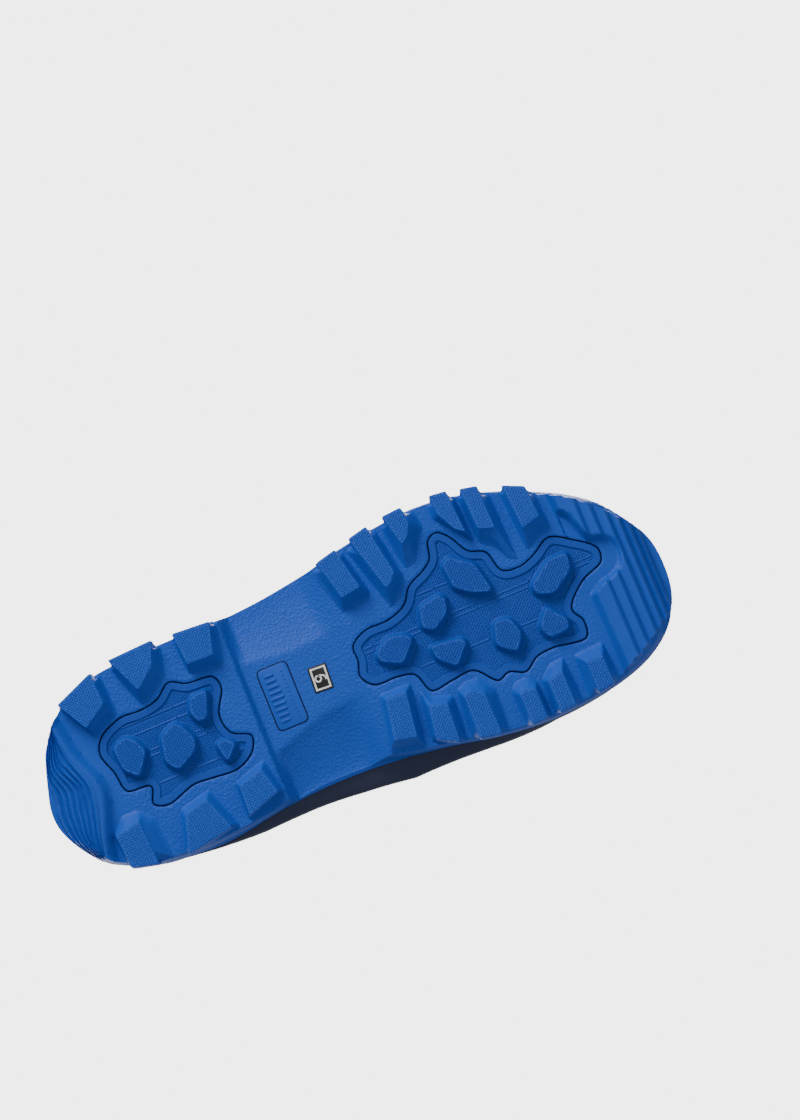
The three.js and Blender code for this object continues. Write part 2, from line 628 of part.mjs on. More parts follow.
function makeLining() {
  return geometryOf(wall(-LINING_OUT, -LINING_IN, LINING_FOOT));
}

function makeStiffener(stiffener) {
  const layer = wall(-THIN_SHELL - GAP, -THIN_SHELL - GAP - STIFFENER_THICK, UPPER_FOOT);
  return geometryOf(layer.intersect(stiffenerPatch(stiffener, 0)));
}

// Binding that folds over the top edge of the upper and the lining.
function makeBinding() {
  const depth = 7;
  const frame = (u) => {
    const top = skin(u, 1);
    const below = skin(u, WALL_ROWS[WALL_ROWS.length - 2]);
    const down = below.clone().sub(top).normalize();
    const side = skin(u + 0.002, 1).sub(skin(u - 0.002, 1)).normalize();
    return { top, down, out: side.cross(down.clone().negate()).normalize() };
  };
  const place = (offset, fall) => ringAround((u) => {
    const { top, down, out } = frame(u);
    return top.clone().addScaledVector(out, offset).addScaledVector(down, fall);
  });
  const slack = 0.6;
  const inSide = -LINING_IN - slack;
  const section = [
    [slack, depth], [1.8, depth], [1.8, -0.9], [0.6, -2.1], [inSide - 0.4, -2.1], [inSide - 1.2, -1],
    [inSide - 1.2, depth], [inSide, depth], [inSide, -slack], [slack, -slack],
  ];
  return loft(section.map(([offset, fall]) => place(offset, fall)), true);
}

// ---- Rand and heel cup --------------------------------------------------------------------
// Height of the black rand's upper edge: a low side band that rises over the toe.
function randTop(u) {
  const toe = 1 - smooth(fromToe(u), 0.01, 0.16);
  return mix(47, 70.5, toe) - 6 * smooth(fromToe(u), 0.2, 0.33);
}

function heelCupTop(u) {
  return mix(64, 40, smooth(0.5 - fromToe(u), 0.02, 0.2));
}

const trimLayer = wall(RAND_OUT, GAP, TRIM_FOOT);

function makeHeelCup() {
  const [first, last] = HEEL_CUP_STATIONS;
  return geometryOf(trimLayer.intersect(patch(first, last, () => TRIM_FOOT - 1, heelCupTop)));
}

// The rand stops a gap short of the heel cup, at upright ends.
function makeRand() {
  const [first, last] = [HEEL_CUP_STATIONS[1], AROUND + HEEL_CUP_STATIONS[0]];
  const middle = AROUND / 2;
  const half = (from, to) => patch(from, to, () => TRIM_FOOT - 1, randTop);
  const body = trimLayer.intersect(half(first, middle).add(half(middle, last)));
  const endAt = (i) => skin(station(i), 0).y;
  const cutLine = Math.min(endAt(first), endAt(last)) - 2 * GAP;
  const heelEnd = block([
    [MID_ALONG - cutLine, -90], [MID_ALONG - cutLine, 90], [-90, 90], [-90, -90],
  ], 0, 90);
  return geometryOf(body.subtract(solid(heelEnd)));
}

// ---- Assembly -----------------------------------------------------------------------------
const clog = new THREE.Group();

function addPiece(name, geometry, colour, roughness, metalness = 0) {
  const material = new THREE.MeshStandardMaterial({ color: colour, roughness, metalness });
  const mesh = new THREE.Mesh(geometry, material);
  mesh.name = name;
  clog.add(mesh);
}

addPiece("outsole", makeOutsole(), COLOURS.blue, 0.55);
addPiece("forefoot_tread_insert", makeInsert(forefootCurve, FOREFOOT_PODS), COLOURS.blue, 0.6);
addPiece("heel_tread_insert", makeInsert(heelCurve, HEEL_PODS), COLOURS.blue, 0.6);
addPiece("arch_badge", roundedBlock(BADGE, 0, BADGE.z, WAIST_Z + TRIM_DEPTH), COLOURS.blue, 0.5);
addPiece("size_label", roundedBlock(LABEL, 0, LABEL.z, WAIST_Z + TRIM_DEPTH), COLOURS.label, 0.5);
addPiece("midsole", makeMidsole(), COLOURS.navy, 0.65);
addPiece("shank", makeShank(), COLOURS.steel, 0.35, 1);
addPiece("insole_board", makeBoard(), COLOURS.board, 0.9);
addPiece("footbed", makeFootbed(), COLOURS.foam, 0.9);
addPiece("footbed_cover", makeCover(), COLOURS.lining, 0.95);
addPiece("upper_shell", makeUpper(), COLOURS.olive, 0.4);
addPiece("lining", makeLining(), COLOURS.lining, 0.95);
addPiece("heel_counter", makeStiffener(STIFFENERS.heel), COLOURS.board, 0.85);
addPiece("toe_puff", makeStiffener(STIFFENERS.toe), COLOURS.board, 0.85);
addPiece("collar_binding", makeBinding(), COLOURS.olive, 0.45);
addPiece("toe_rand", makeRand(), COLOURS.black, 0.6);
addPiece("heel_cup", makeHeelCup(), COLOURS.navy, 0.65);

export default clog;
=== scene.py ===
# Looks of the rubber garden clog: every seen piece, its finish, the pale floor, the lamps and the camera.
# Shapes are worked out in millimetres. Plan points are (along, across): along runs from the heel to the
# toe, across is positive towards the inner side of the foot.
import math

import bmesh
import bpy
import numpy as np
from mathutils import Matrix, Vector
from mathutils.geometry import delaunay_2d_cdt


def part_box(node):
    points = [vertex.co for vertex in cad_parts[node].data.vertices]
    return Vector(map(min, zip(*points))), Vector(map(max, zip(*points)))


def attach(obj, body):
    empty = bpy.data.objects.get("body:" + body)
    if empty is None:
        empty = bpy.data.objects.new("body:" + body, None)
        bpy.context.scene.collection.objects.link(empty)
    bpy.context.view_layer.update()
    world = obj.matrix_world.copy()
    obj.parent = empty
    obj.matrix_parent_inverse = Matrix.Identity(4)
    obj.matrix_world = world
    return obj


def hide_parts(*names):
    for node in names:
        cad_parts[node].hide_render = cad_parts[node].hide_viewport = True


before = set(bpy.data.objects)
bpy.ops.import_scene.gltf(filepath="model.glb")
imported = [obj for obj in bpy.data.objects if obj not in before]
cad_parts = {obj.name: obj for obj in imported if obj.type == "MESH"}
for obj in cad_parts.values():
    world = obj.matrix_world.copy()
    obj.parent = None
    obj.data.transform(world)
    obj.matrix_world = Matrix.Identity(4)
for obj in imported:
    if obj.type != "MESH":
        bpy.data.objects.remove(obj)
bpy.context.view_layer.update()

# ---- Sizes shared with the moulds, mm ---------------------------------------------------------
MM = 0.001
sole_low = Vector(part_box("outsole")[0]) / MM
TOE_TIP_ALONG = 280.505
MID_ALONG = TOE_TIP_ALONG + sole_low.y  # plan point over the origin
MID_ACROSS = -3.982
GAP = 0.3
SEAM = 0.6  # width of the dark seam round each tread insert
SOLE_Z = 6.5  # underside of the sole between the lugs
PLATE_TOP = 16.0  # top of the blue sole's side
HEEL_TOP = 21.5
FLOOR_Z = 24.0  # inside floor of the midsole
BAND_TOP = 32.5
FEATHER_Z = 30.0
SIDE_WALL = 5.0
RAND_OUT = 2.1
SHELL = 3.4
LINING_OUT = 3.7
LINING_IN = 5.8
COLLAR_BACK, COLLAR_SIDE, COLLAR_FRONT = 103.0, 96.0, 126.0
COLLAR_MIDDLE = (82.0, 1.0)
COLLAR_HALF_LENGTH = 68.0
COLLAR_HALF_WIDTH = 32.0
CAP_MIDDLE = 2.0  # across position of the toe cap's middle
WAIST_Z = 10.0  # underside of the sole's waist

SOLE_EDGE = (
    (-3.3, 8), (-0.5, -7), (5, -22), (14, -34), (30, -41.5), (48, -43.8), (70, -44.2), (92, -44.6),
    (112, -46), (132, -48.8), (152, -52.4), (172, -55.6), (190, -57), (208, -55.3), (226, -50.4),
    (242, -43.5), (256, -35.6), (267, -25.6), (275, -14), (279.4, -3.8), (280.5, 7), (279, 19),
    (273.2, 30.4), (262, 40), (246, 47), (228, 50.4), (208, 51.3), (188, 49.5), (168, 45.6),
    (148, 42.8), (128, 41.3), (108, 41.3), (90, 42.8), (72, 44.8), (50, 45.6), (30, 44.2),
    (14, 37.5), (4, 26.5), (-1.4, 17))
FOREFOOT_INSERT = (
    (141.5, 3), (143.2, -3.5), (143.6, -10.5), (151, -15), (163, -15.6), (171, -19), (176, -25.6),
    (184, -29.5), (188.5, -33), (191.2, -41), (196, -42.9), (201, -38.7), (205.8, -30.4),
    (213, -26.5), (216.5, -16.5), (224, -15.2), (231, -17.4), (240, -22.2), (250, -17),
    (258.5, -9.5), (257.5, -3.2), (246.7, 1.7), (238, 11), (240.8, 17.5), (239, 25), (224, 23.7),
    (216, 24.6), (209, 28.8), (202, 26.1), (196.5, 27.8), (188, 19.6), (178, 20.1), (168, 20.8),
    (163.8, 11.5), (157, 9.6), (146, 8.9))
HEEL_INSERT = (
    (24.2, -9), (27.5, -15.8), (38, -20.6), (48, -20.4), (56, -22), (63.5, -27), (71, -23.6),
    (82.5, -22), (84.6, -16), (79.3, -5), (81, 3.6), (89, 8.5), (86.5, 15.4), (78, 20), (67, 19.6),
    (58, 19), (44, 22.9), (38, 20), (39.8, 12.5), (29.5, 10.6), (27.2, 1))

# Ground face and foot of every lug.
LUGS = (
    (((15.8, -35.2), (34, -42.8), (35, -28), (23.8, -21)),
     ((17, -34), (36.8, -41), (37.9, -22.8), (25.4, -16.6))),
    (((43.2, -44.9), (63.8, -45.9), (60.4, -35.3), (50.8, -27.7)),
     ((42.6, -42), (65.9, -43), (63.5, -30.3), (53.3, -22.8), (49.2, -22.4))),
    (((73.2, -44.9), (90.4, -43.8), (86.7, -29.5), (74.6, -29.9)),
     ((72.5, -42), (92.6, -42.8), (88.8, -25.3), (73.6, -26.6))),
    (((18.6, 26.8), (30.4, 24.7), (31.7, 45.2), (20, 42.2)),
     ((17.4, 25.6), (23.8, 19.7), (30.8, 20.1), (36.3, 25.5), (37.9, 44), (19, 42))),
    (((49.6, 30), (60.8, 26.8), (66.7, 42.6), (45, 46.3)),
     ((48.4, 26.8), (62.5, 23.4), (69.5, 42.8), (43.8, 45))),
    (((76, 27.2), (87.5, 23.8), (90.8, 36), (75.4, 41)),
     ((74.6, 25), (89.2, 20.5), (93.2, 36), (74.4, 42))),
    (((142.9, -49.5), (152.5, -51.8), (156.7, -32.4), (147.5, -30.8)),
     ((140.4, -47), (154.6, -50.3), (159.6, -28.9), (145.8, -26))),
    (((159.6, -53.9), (168.8, -56), (172.9, -32.8), (169.2, -28.3), (166.7, -27.8)),
     ((157, -50.3), (171.7, -54), (175.7, -30), (165.8, -19.7))),
    (((176.7, -57.3), (185.8, -58), (186.7, -50.3), (184.2, -45.3), (180.4, -42.4)),
     ((175, -53.7), (190, -55.5), (191.3, -47), (187.5, -42.8), (183.3, -34.5), (177.9, -33.3))),
    (((199, -57.8), (206.7, -57), (208, -37), (204, -40), (199.5, -48.5)),
     ((197.2, -54.9), (209, -54), (209.8, -32.7), (197.1, -48.5))),
    (((212.5, -55.5), (220, -53.9), (220.4, -33.7), (213.3, -36.2)),
     ((210.8, -53.3), (223.5, -49.5), (224.3, -18.3), (220.8, -20.3), (217.5, -27), (211.9, -31.2))),
    (((230, -49.9), (239.2, -45.8), (240, -31.2), (231.3, -29)),
     ((228.2, -48.3), (241.7, -41.6), (242.8, -25.3), (237.5, -24.5), (229.8, -20.3))),
    (((148.3, 16.8), (157.9, 16.8), (155, 37.2), (145, 35)),
     ((146.7, 13.8), (160.8, 14), (156.6, 41.3), (142, 38))),
    (((164.2, 26.3), (172.5, 28.4), (171.3, 46.3), (162, 41.3)),
     ((163.3, 18.4), (166, 22.6), (175.8, 25.9), (174.2, 46.8), (160, 41))),
    (((180, 28.4), (183.3, 26.8), (189.2, 30.5), (189.2, 50), (179.6, 48)),
     ((178.2, 24.7), (183.3, 22.6), (188.3, 23), (193.8, 30), (192.6, 49.7), (176.7, 47))),
    (((202.5, 37.2), (205, 36), (210, 37), (210, 51), (202.5, 51)),
     ((200, 34), (203.3, 31), (208.3, 31), (211.5, 34), (212, 51), (200.6, 51))),
    (((215.8, 36.3), (221.7, 34.3), (223.3, 34.3), (223.3, 50.5), (215.8, 51)),
     ((213.8, 34.7), (219.6, 29.7), (226, 28.7), (226.8, 50), (213.8, 51))),
    (((234.2, 34.7), (242, 34.7), (242, 48), (234.2, 49.3)),
     ((230.8, 30), (244.2, 29.3), (245, 47), (230.4, 49.7))),
)
FOREFOOT_PODS = (
    ((151.8, -2.8), (158.8, -8.2), (166.7, -6.2), (169.2, -3.2), (161.3, 5.5), (152.5, 0.9)),
    ((176.7, -14.9), (186.7, -16.6), (188.8, -14.1), (187.5, -8.2), (179.2, -2.8), (174.6, -5.7)),
    ((192.9, -27.8), (196.7, -30.4), (206.3, -23.2), (209.2, -8.9), (200.8, -11.6), (193.8, -16.6)),
    ((174.6, 2.6), (188.8, 4.6), (190, 7.2), (182.5, 15.6), (175.4, 9.3)),
    ((204.2, 3.4), (211.3, 4.3), (213.8, 12.6), (208.8, 19.6), (201.3, 13.6)),
    ((225.4, -4.9), (235.8, -12.4), (245, -12.8), (243.8, -4.9), (233.3, 2.2), (226, -0.4)),
    ((227.5, 5.9), (234.2, 14.3), (233.4, 18.6), (224.2, 19.6), (221.5, 13.6)))
HEEL_PODS = (
    ((30.8, -9.1), (36.7, -11.4), (41, -9.4), (44.2, -2.4), (37.5, 7.2), (32, 2.1)),
    ((52, -5.6), (59.2, -9.1), (62.5, -6.6), (65.8, 0.9), (64.2, 5.6), (54.2, 10.9), (50, 5.6)),
    ((70, -16.6), (78.3, -17.4), (74.2, -5.7), (70, -4.9), (67.5, -10.4)),
    ((72.9, 5.9), (79.2, 6.4), (81.3, 9.6), (75, 15.9)))
POD_FACE_Z = 2.6
POD_DRAFT = 1.4
INSERT_FLOOR_Z = 7.25
INSERT_BORDER = 3.0

# Front edge of the heel's ribbed bumper, and the edge of the channel in front of the forefoot insert.
HEEL_BUMPER_EDGE = ((8.5, -44), (9.8, -29), (13, -12), (18.6, 2), (18.4, 10), (12, 30), (10.5, 46))
TOE_CHANNEL = ((247.6, -29), (250, -26), (255, -13.7), (263.3, -10.3), (265, -4.5), (261.7, 1.3),
               (252.5, 4.6), (247.6, 8))

# ---- Plan curves ------------------------------------------------------------------------------
def smooth(x, start, end):
    """0 before the start, 1 after the end, and a soft S between them."""
    share = np.clip((x - start) / (end - start), 0.0, 1.0)
    return share * share * (3 - 2 * share)


def mix(a, b, share):
    """A value between a and b."""
    return a + (b - a) * share


def ramp(x, stops):
    """Straight lines through some stops of place and value."""
    return np.interp(x, [a for a, _ in stops], [b for _, b in stops])


def to_xy(points):
    """Plan points as positions in the frame, mm."""
    points = np.asarray(points, float)
    return np.column_stack((points[:, 1] - MID_ACROSS, MID_ALONG - points[:, 0]))


def to_plan(x, y):
    """Positions in the frame as plan values, along and across."""
    return MID_ALONG - y, x + MID_ACROSS


def round_curve(points, closed=True, steps=40):
    """Samples of the smooth curve through some points (centripetal Catmull-Rom)."""
    points = np.asarray(points, float)
    count = len(points)
    samples = []
    for i in range(count if closed else count - 1):
        if closed:
            p0, p1, p2, p3 = (points[(i + k) % count] for k in (-1, 0, 1, 2))
        else:
            p1, p2 = points[i], points[i + 1]
            p0 = points[i - 1] if i else 2 * p1 - p2
            p3 = points[i + 2] if i + 2 < count else 2 * p2 - p1
        d0, d1, d2 = (math.sqrt(np.linalg.norm(b - a)) for a, b in ((p0, p1), (p1, p2), (p2, p3)))
        m1 = ((p1 - p0) / d0 - (p2 - p0) / (d0 + d1) + (p2 - p1) / d1) * d1
        m2 = ((p2 - p1) / d1 - (p3 - p1) / (d1 + d2) + (p3 - p2) / d2) * d1
        for k in range(steps):
            t = k / steps
            samples.append((2 * p1 - 2 * p2 + m1 + m2) * t ** 3
                           + (-3 * p1 + 3 * p2 - 2 * m1 - m2) * t ** 2 + m1 * t + p1)
    if not closed:
        samples.append(points[-1])
    return np.array(samples)


class ArcCurve:
    """A closed curve read by its share of the whole length."""

    def __init__(self, points):
        dense = round_curve(points)
        self.points = np.vstack((dense, dense[:1]))
        lengths = np.linalg.norm(np.diff(self.points, axis=0), axis=1)
        self.length = lengths.sum()
        self.shares = np.concatenate(([0], np.cumsum(lengths))) / self.length

    def at(self, share):
        share = np.mod(share, 1.0)
        return np.column_stack([np.interp(share, self.shares, self.points[:, k]) for k in (0, 1)])


sole_curve = ArcCurve(to_xy(SOLE_EDGE))
tip_shares = np.linspace(0.4, 0.6, 401)
TIP_SHARE = tip_shares[np.argmin(sole_curve.at(tip_shares)[:, 1])]


def edge(u):
    """Points and outward directions of the sole's edge: u = 0 at the heel's back, 0.5 at the toe."""
    turn = np.mod(np.atleast_1d(np.asarray(u, float)), 1.0)
    share = np.where(turn < 0.5, 2 * turn * TIP_SHARE, TIP_SHARE + (2 * turn - 1) * (1 - TIP_SHARE))
    tangent = sole_curve.at(share + 0.0008) - sole_curve.at(share - 0.0008)
    tangent /= np.linalg.norm(tangent, axis=1)[:, None]
    return sole_curve.at(share), np.column_stack((tangent[:, 1], -tangent[:, 0]))


# ---- The upper's skin -------------------------------------------------------------------------
meridians = {}
BEZIER_T = np.linspace(0, 1, 161)


def profile(u):
    """Points up the upper at a station, from the feather line to the collar."""
    point, out = edge(u)
    foot = point[0] - out[0] * SIDE_WALL
    turn = 2 * math.pi * u
    side, ahead = math.sin(turn), math.cos(turn)
    toeward = max(0.0, (1 - ahead) / 2) ** 1.6
    rise = COLLAR_BACK if ahead > 0 else COLLAR_FRONT
    collar = to_xy([(COLLAR_MIDDLE[0] - COLLAR_HALF_LENGTH * ahead,
                     COLLAR_MIDDLE[1] - COLLAR_HALF_WIDTH * math.copysign(abs(side) ** 0.85, side))])[0]
    start = np.array((foot[0], foot[1], FEATHER_Z))
    end = np.array((collar[0], collar[1], COLLAR_SIDE + (rise - COLLAR_SIDE) * ahead ** 2))
    up = start + (0, 0, mix(20, 37, toeward))
    down = mix(end, start, mix(0.12, 0.44, toeward))
    down[2] = mix(end[2], start[2], mix(0.38, 0.57, toeward))
    t = BEZIER_T[:, None]
    return ((1 - t) ** 3 * start + 3 * (1 - t) ** 2 * t * up + 3 * (1 - t) * t ** 2 * down + t ** 3 * end)


# How far the side stands out over the sole's inner waist: distance from the heel, swell.
WAIST_SWELL = ((40, 0), (60, 2), (78, 4), (101, 5.7), (124, 7.7), (148, 8.8), (160, 7), (172, 5.2),
               (184, 3.2), (200, 1.5), (215, 0))


def meridian(u):
    """The profile at a station with its outward directions."""
    key = round((u % 1) * 1e6)
    if key not in meridians:
        points = profile(u % 1)
        across = profile((u + 0.002) % 1) - profile((u - 0.002) % 1)
        normals = np.cross(across, np.gradient(points, axis=0))
        normals /= np.linalg.norm(normals, axis=1)[:, None]
        foot, out = edge(u % 1)
        along, inward = to_plan(foot[0, 0], foot[0, 1])
        swell = out[0] * ramp(along, WAIST_SWELL) * (inward > 0)
        meridians[key] = (points, normals, swell)
    return meridians[key]


def on_skin(u, heights, offsets):
    """Points at some heights on the skin of one station, each moved out by its offset."""
    points, normals, swell = meridian(u)
    heights = np.asarray(heights, float)
    offsets = np.broadcast_to(np.asarray(offsets, float), heights.shape)
    v = np.interp(heights, points[:, 2], BEZIER_T)
    place = np.column_stack([np.interp(v, BEZIER_T, points[:, k]) for k in range(3)])
    out = np.column_stack([np.interp(v, BEZIER_T, normals[:, k]) for k in range(3)])
    low = heights < FEATHER_Z
    place[low] = points[0]
    place[low, 2] = heights[low]
    place[:, :2] += swell * (smooth(heights, 15.6, 21) * (1 - smooth(heights, 50, 85)))[:, None]
    return place + out * offsets[:, None]


def from_toe(u):
    """Share of the way round from the toe's tip, 0 to 0.5."""
    return np.abs(np.mod(u, 1.0) - 0.5)


# Outline of the blue toe cap: half width across, height.
CAP_LINE = round_curve(((0, 57), (8, 57), (13.5, 56.3), (17, 53), (19, 47.5), (20.6, 41), (23.4, 35),
                        (28.5, 29.6), (37, 24), (47, 18.8), (54, 16.2), (60, 16)), closed=False, steps=12)


def sole_top(u):
    """Height of the blue sole's upper edge."""
    x, y = edge(u)[0][0]
    along, across = to_plan(x, y)
    rear = mix(HEEL_TOP, PLATE_TOP, smooth(along, 30, 95))
    cap = np.interp(abs(across - CAP_MIDDLE), CAP_LINE[:, 0], CAP_LINE[:, 1])
    return float(mix(rear, cap, smooth(along, 186, 214)))


def band_top(u):
    """Height of the navy band's upper edge."""
    x, y = edge(u)[0][0]
    along, across = to_plan(x, y)
    cap = ramp(abs(across - CAP_MIDDLE), ((20, 25), (23, 37), (27, 40.5), (34, 39.5), (54, BAND_TOP)))
    return float(mix(BAND_TOP, cap, smooth(along, 186, 214)))


def rand_top(u):
    """Height of the black rand's upper edge: high over the toe, low along the sides."""
    toe = 1 - smooth(from_toe(u), 0.01, 0.16)
    return float(mix(47, 70.5, toe) - 6 * smooth(from_toe(u), 0.2, 0.33))


def heel_cup_top(u):
    """Height of the heel cup's upper edge."""
    return float(mix(64, 40, smooth(0.5 - from_toe(u), 0.02, 0.2)))


# ---- Meshes -----------------------------------------------------------------------------------
def linear(hex_colour):
    """An sRGB hex colour as linear RGBA."""
    parts = [int(hex_colour[i:i + 2], 16) / 255 for i in (1, 3, 5)]
    return [p / 12.92 if p <= 0.04045 else ((p + 0.055) / 1.055) ** 2.4 for p in parts] + [1.0]


class Body:
    """Points, faces and marks that are gathered into one piece."""

    def __init__(self):
        self.points, self.faces, self.slots, self.grain, self.lay = [], [], [], [], []

    def add(self, points, faces, slot=0, grain=0.0, lay=None):
        start = len(self.points)
        points = np.asarray(points, float)
        self.points.extend(points.tolist())
        self.faces.extend([[start + i for i in face] for face in faces])
        self.slots.extend([slot] * len(faces) if isinstance(slot, int) else slot)
        self.grain.extend(np.broadcast_to(grain, len(points)).tolist())
        self.lay.extend(np.zeros((len(points), 2)).tolist() if lay is None else np.asarray(lay).tolist())

    def piece(self, name, materials, weld=0.002, crease=42):
        """An object in the scene, welded, with edges sharper than the crease angle kept."""
        mesh = bpy.data.meshes.new(name)
        mesh.from_pydata([[c * MM for c in p] for p in self.points], [], self.faces)
        for material in materials:
            mesh.materials.append(material)
        mesh.polygons.foreach_set("material_index", self.slots)
        mark = mesh.attributes.new("grain", "FLOAT", "POINT")
        mark.data.foreach_set("value", self.grain)
        layer = mesh.uv_layers.new(name="lay")
        corners = np.zeros(len(mesh.loops), int)
        mesh.loops.foreach_get("vertex_index", corners)
        layer.data.foreach_set("uv", np.asarray(self.lay)[corners].ravel())
        work = bmesh.new()
        work.from_mesh(mesh)
        bmesh.ops.remove_doubles(work, verts=work.verts, dist=weld * MM)
        bmesh.ops.dissolve_degenerate(work, edges=work.edges, dist=0.0005 * MM)
        work.to_mesh(mesh)
        work.free()
        mesh.shade_smooth()
        mesh.set_sharp_from_angle(angle=math.radians(crease))
        made = bpy.data.objects.new(name, mesh)
        bpy.context.scene.collection.objects.link(made)
        return made


def strips(rows, columns, closed_columns=True, closed_rows=False):
    """Quads of a grid of points, row after row."""
    faces = []
    for r in range(rows if closed_rows else rows - 1):
        for c in range(columns if closed_columns else columns - 1):
            a, b = r * columns + c, r * columns + (c + 1) % columns
            up = (r + 1) % rows * columns
            faces.append([a, b, up + (c + 1) % columns, up + c])
    return faces


def inside(points, outline):
    """Which points lie in a closed outline."""
    x, y = points[:, 0], points[:, 1]
    hit = np.zeros(len(points), bool)
    ax, ay = outline[-1]
    for bx, by in outline:
        if ay != by:
            cross = ((ay > y) != (by > y)) & (x < (bx - ax) * (y - ay) / (by - ay) + ax)
            hit ^= cross
        ax, ay = bx, by
    return hit


def distance(points, line, closed=True):
    """Distance from each point to a line of straight parts."""
    best = np.full(len(points), 1e9)
    count = len(line)
    for i in range(count if closed else count - 1):
        a, b = line[i], line[(i + 1) % count]
        d = b - a
        share = np.clip(((points - a) @ d) / max(d @ d, 1e-9), 0, 1)
        best = np.minimum(best, np.linalg.norm(points - a - share[:, None] * d, axis=1))
    return best


def winding(outline):
    """1 for an outline that runs anticlockwise, -1 for a clockwise one."""
    x, y = outline[:, 0], outline[:, 1]
    return np.sign(np.sum(x * np.roll(y, -1) - np.roll(x, -1) * y))


def spread_outline(outline, run):
    """A closed outline with each point moved outwards, or inwards where the run is negative."""
    ahead = np.roll(outline, -1, axis=0) - np.roll(outline, 1, axis=0)
    ahead /= np.linalg.norm(ahead, axis=1)[:, None]
    return outline + np.column_stack((ahead[:, 1], -ahead[:, 0])) * winding(outline) * run


def inset_loop(loop, depth):
    """A closed loop moved inwards, without the places where it would cross itself."""
    moved = spread_outline(loop, -depth)
    return moved[distance(moved, loop) > depth - 0.03]


def triangulate(loops, loose, keep):
    """Triangles of a flat sheet whose edges follow the loops; `keep` says which middles stay."""
    points, edges = [], []
    for loop, closed in loops:
        start, count = len(points), len(loop)
        points.extend(map(tuple, loop))
        edges.extend((start + i, start + (i + 1) % count) for i in range(count if closed else count - 1))
    points.extend(map(tuple, loose))
    flat, _, faces, *_ = delaunay_2d_cdt([Vector(p) for p in points], edges, [], 0, 1e-4)
    flat = np.array([tuple(p) for p in flat])
    faces = np.array([list(f) for f in faces])
    faces = faces[keep(flat[faces].mean(axis=1))]
    return flat, faces


def fill(outline):
    """Triangles of the flat sheet inside one closed outline."""
    return triangulate([(outline, True)], np.zeros((0, 2)), lambda middles: inside(middles, outline))


def wall_sweep(body, stations, section, closed, slot=0, grain=None, turn=False):
    """Sweep a closed cross-section along the foot; `section` gives its points at a station."""
    rings = [section(u) for u in stations]
    count = len(rings[0])
    travelled = [0.0]
    for a, b in zip(rings, rings[1:]):
        travelled.append(travelled[-1] + np.linalg.norm(b[0] - a[0]))
    lay = []
    for ring, far in zip(rings, travelled):
        run = np.concatenate(([0], np.cumsum(np.linalg.norm(np.diff(ring, axis=0), axis=1))))
        lay.extend(np.column_stack((np.full(count, far), run)).tolist())
    faces = strips(len(rings), count, closed_rows=closed)
    if not closed:
        last = (len(rings) - 1) * count
        faces.append(list(range(count))[::-1])
        faces.append([last + i for i in range(count)])
    if turn:
        faces = [face[::-1] for face in faces]
    points = np.vstack(rings)
    marks = 0.0 if grain is None else np.concatenate([grain(u, ring) for u, ring in zip(stations, rings)])
    body.add(points, faces, slot, marks, lay)


# ---- Node building ----------------------------------------------------------------------------
def add(tree, kind, inputs=None, **settings):
    """Add a node, give it its settings, and link or set its inputs."""
    made = tree.nodes.new(kind)
    for name, value in settings.items():
        setattr(made, name, value)
    for name, value in (inputs or {}).items():
        if isinstance(value, bpy.types.NodeSocket):
            tree.links.new(value, made.inputs[name])
        else:
            made.inputs[name].default_value = value
    return made


def finish(name, colour, tone, roughness, ior=1.52, **sockets):
    """A material with two close tones in soft patches, and its tree, shader and coordinates."""
    material = bpy.data.materials.new(name)
    material.use_nodes = True
    tree = material.node_tree
    shader = tree.nodes["Principled BSDF"]
    shader.inputs["Roughness"].default_value = roughness
    shader.inputs["IOR"].default_value = ior
    for socket, value in sockets.items():
        shader.inputs[socket.replace("_", " ")].default_value = value
    place = add(tree, "ShaderNodeTexCoord").outputs["Object"]
    patches = add(tree, "ShaderNodeTexNoise", {"Vector": place, "Scale": 1 / (22 * MM), "Detail": 2.0})
    tones = add(tree, "ShaderNodeMix", {"Factor": patches.outputs["Fac"], "A": linear(colour),
                                        "B": linear(tone)}, data_type="RGBA")
    tree.links.new(tones.outputs["Result"], shader.inputs["Base Color"])
    return material, tree, shader, place


def emboss(tree, shader, height, depth, below=None, strength=1.0):
    """Bump of a depth in mm from a height of 0 to 1."""
    inputs = {"Height": height, "Distance": depth * MM, "Strength": strength}
    if below is not None:
        inputs["Normal"] = below
    bump = add(tree, "ShaderNodeBump", inputs)
    tree.links.new(bump.outputs["Normal"], shader.inputs["Normal"])
    return bump.outputs["Normal"]


# Natural rubber, compression moulded and pigmented: matt, with a broad soft shine. The mould is grained
# like leather in places, which the piece's "grain" mark says. Grain cells about 1 mm.
def moulded_rubber(name, colour, tone, roughness, grain_mm=1.05, grain_depth=0.26):
    material, tree, shader, place = finish(name, colour, tone, roughness, Specular_IOR_Level=0.2)
    skin = add(tree, "ShaderNodeTexNoise", {"Vector": place, "Scale": 1 / (0.5 * MM), "Detail": 3.0})
    fine = emboss(tree, shader, skin.outputs["Fac"], 0.02)
    cells = add(tree, "ShaderNodeTexVoronoi", {"Vector": place, "Scale": 1 / (grain_mm * MM),
                                               "Smoothness": 0.6}, feature="SMOOTH_F1")
    mark = add(tree, "ShaderNodeAttribute", attribute_name="grain")
    amount = add(tree, "ShaderNodeMath", {0: cells.outputs["Distance"], 1: mark.outputs["Fac"]},
                 operation="MULTIPLY")
    emboss(tree, shader, amount.outputs["Value"], grain_depth, below=fine)
    return material


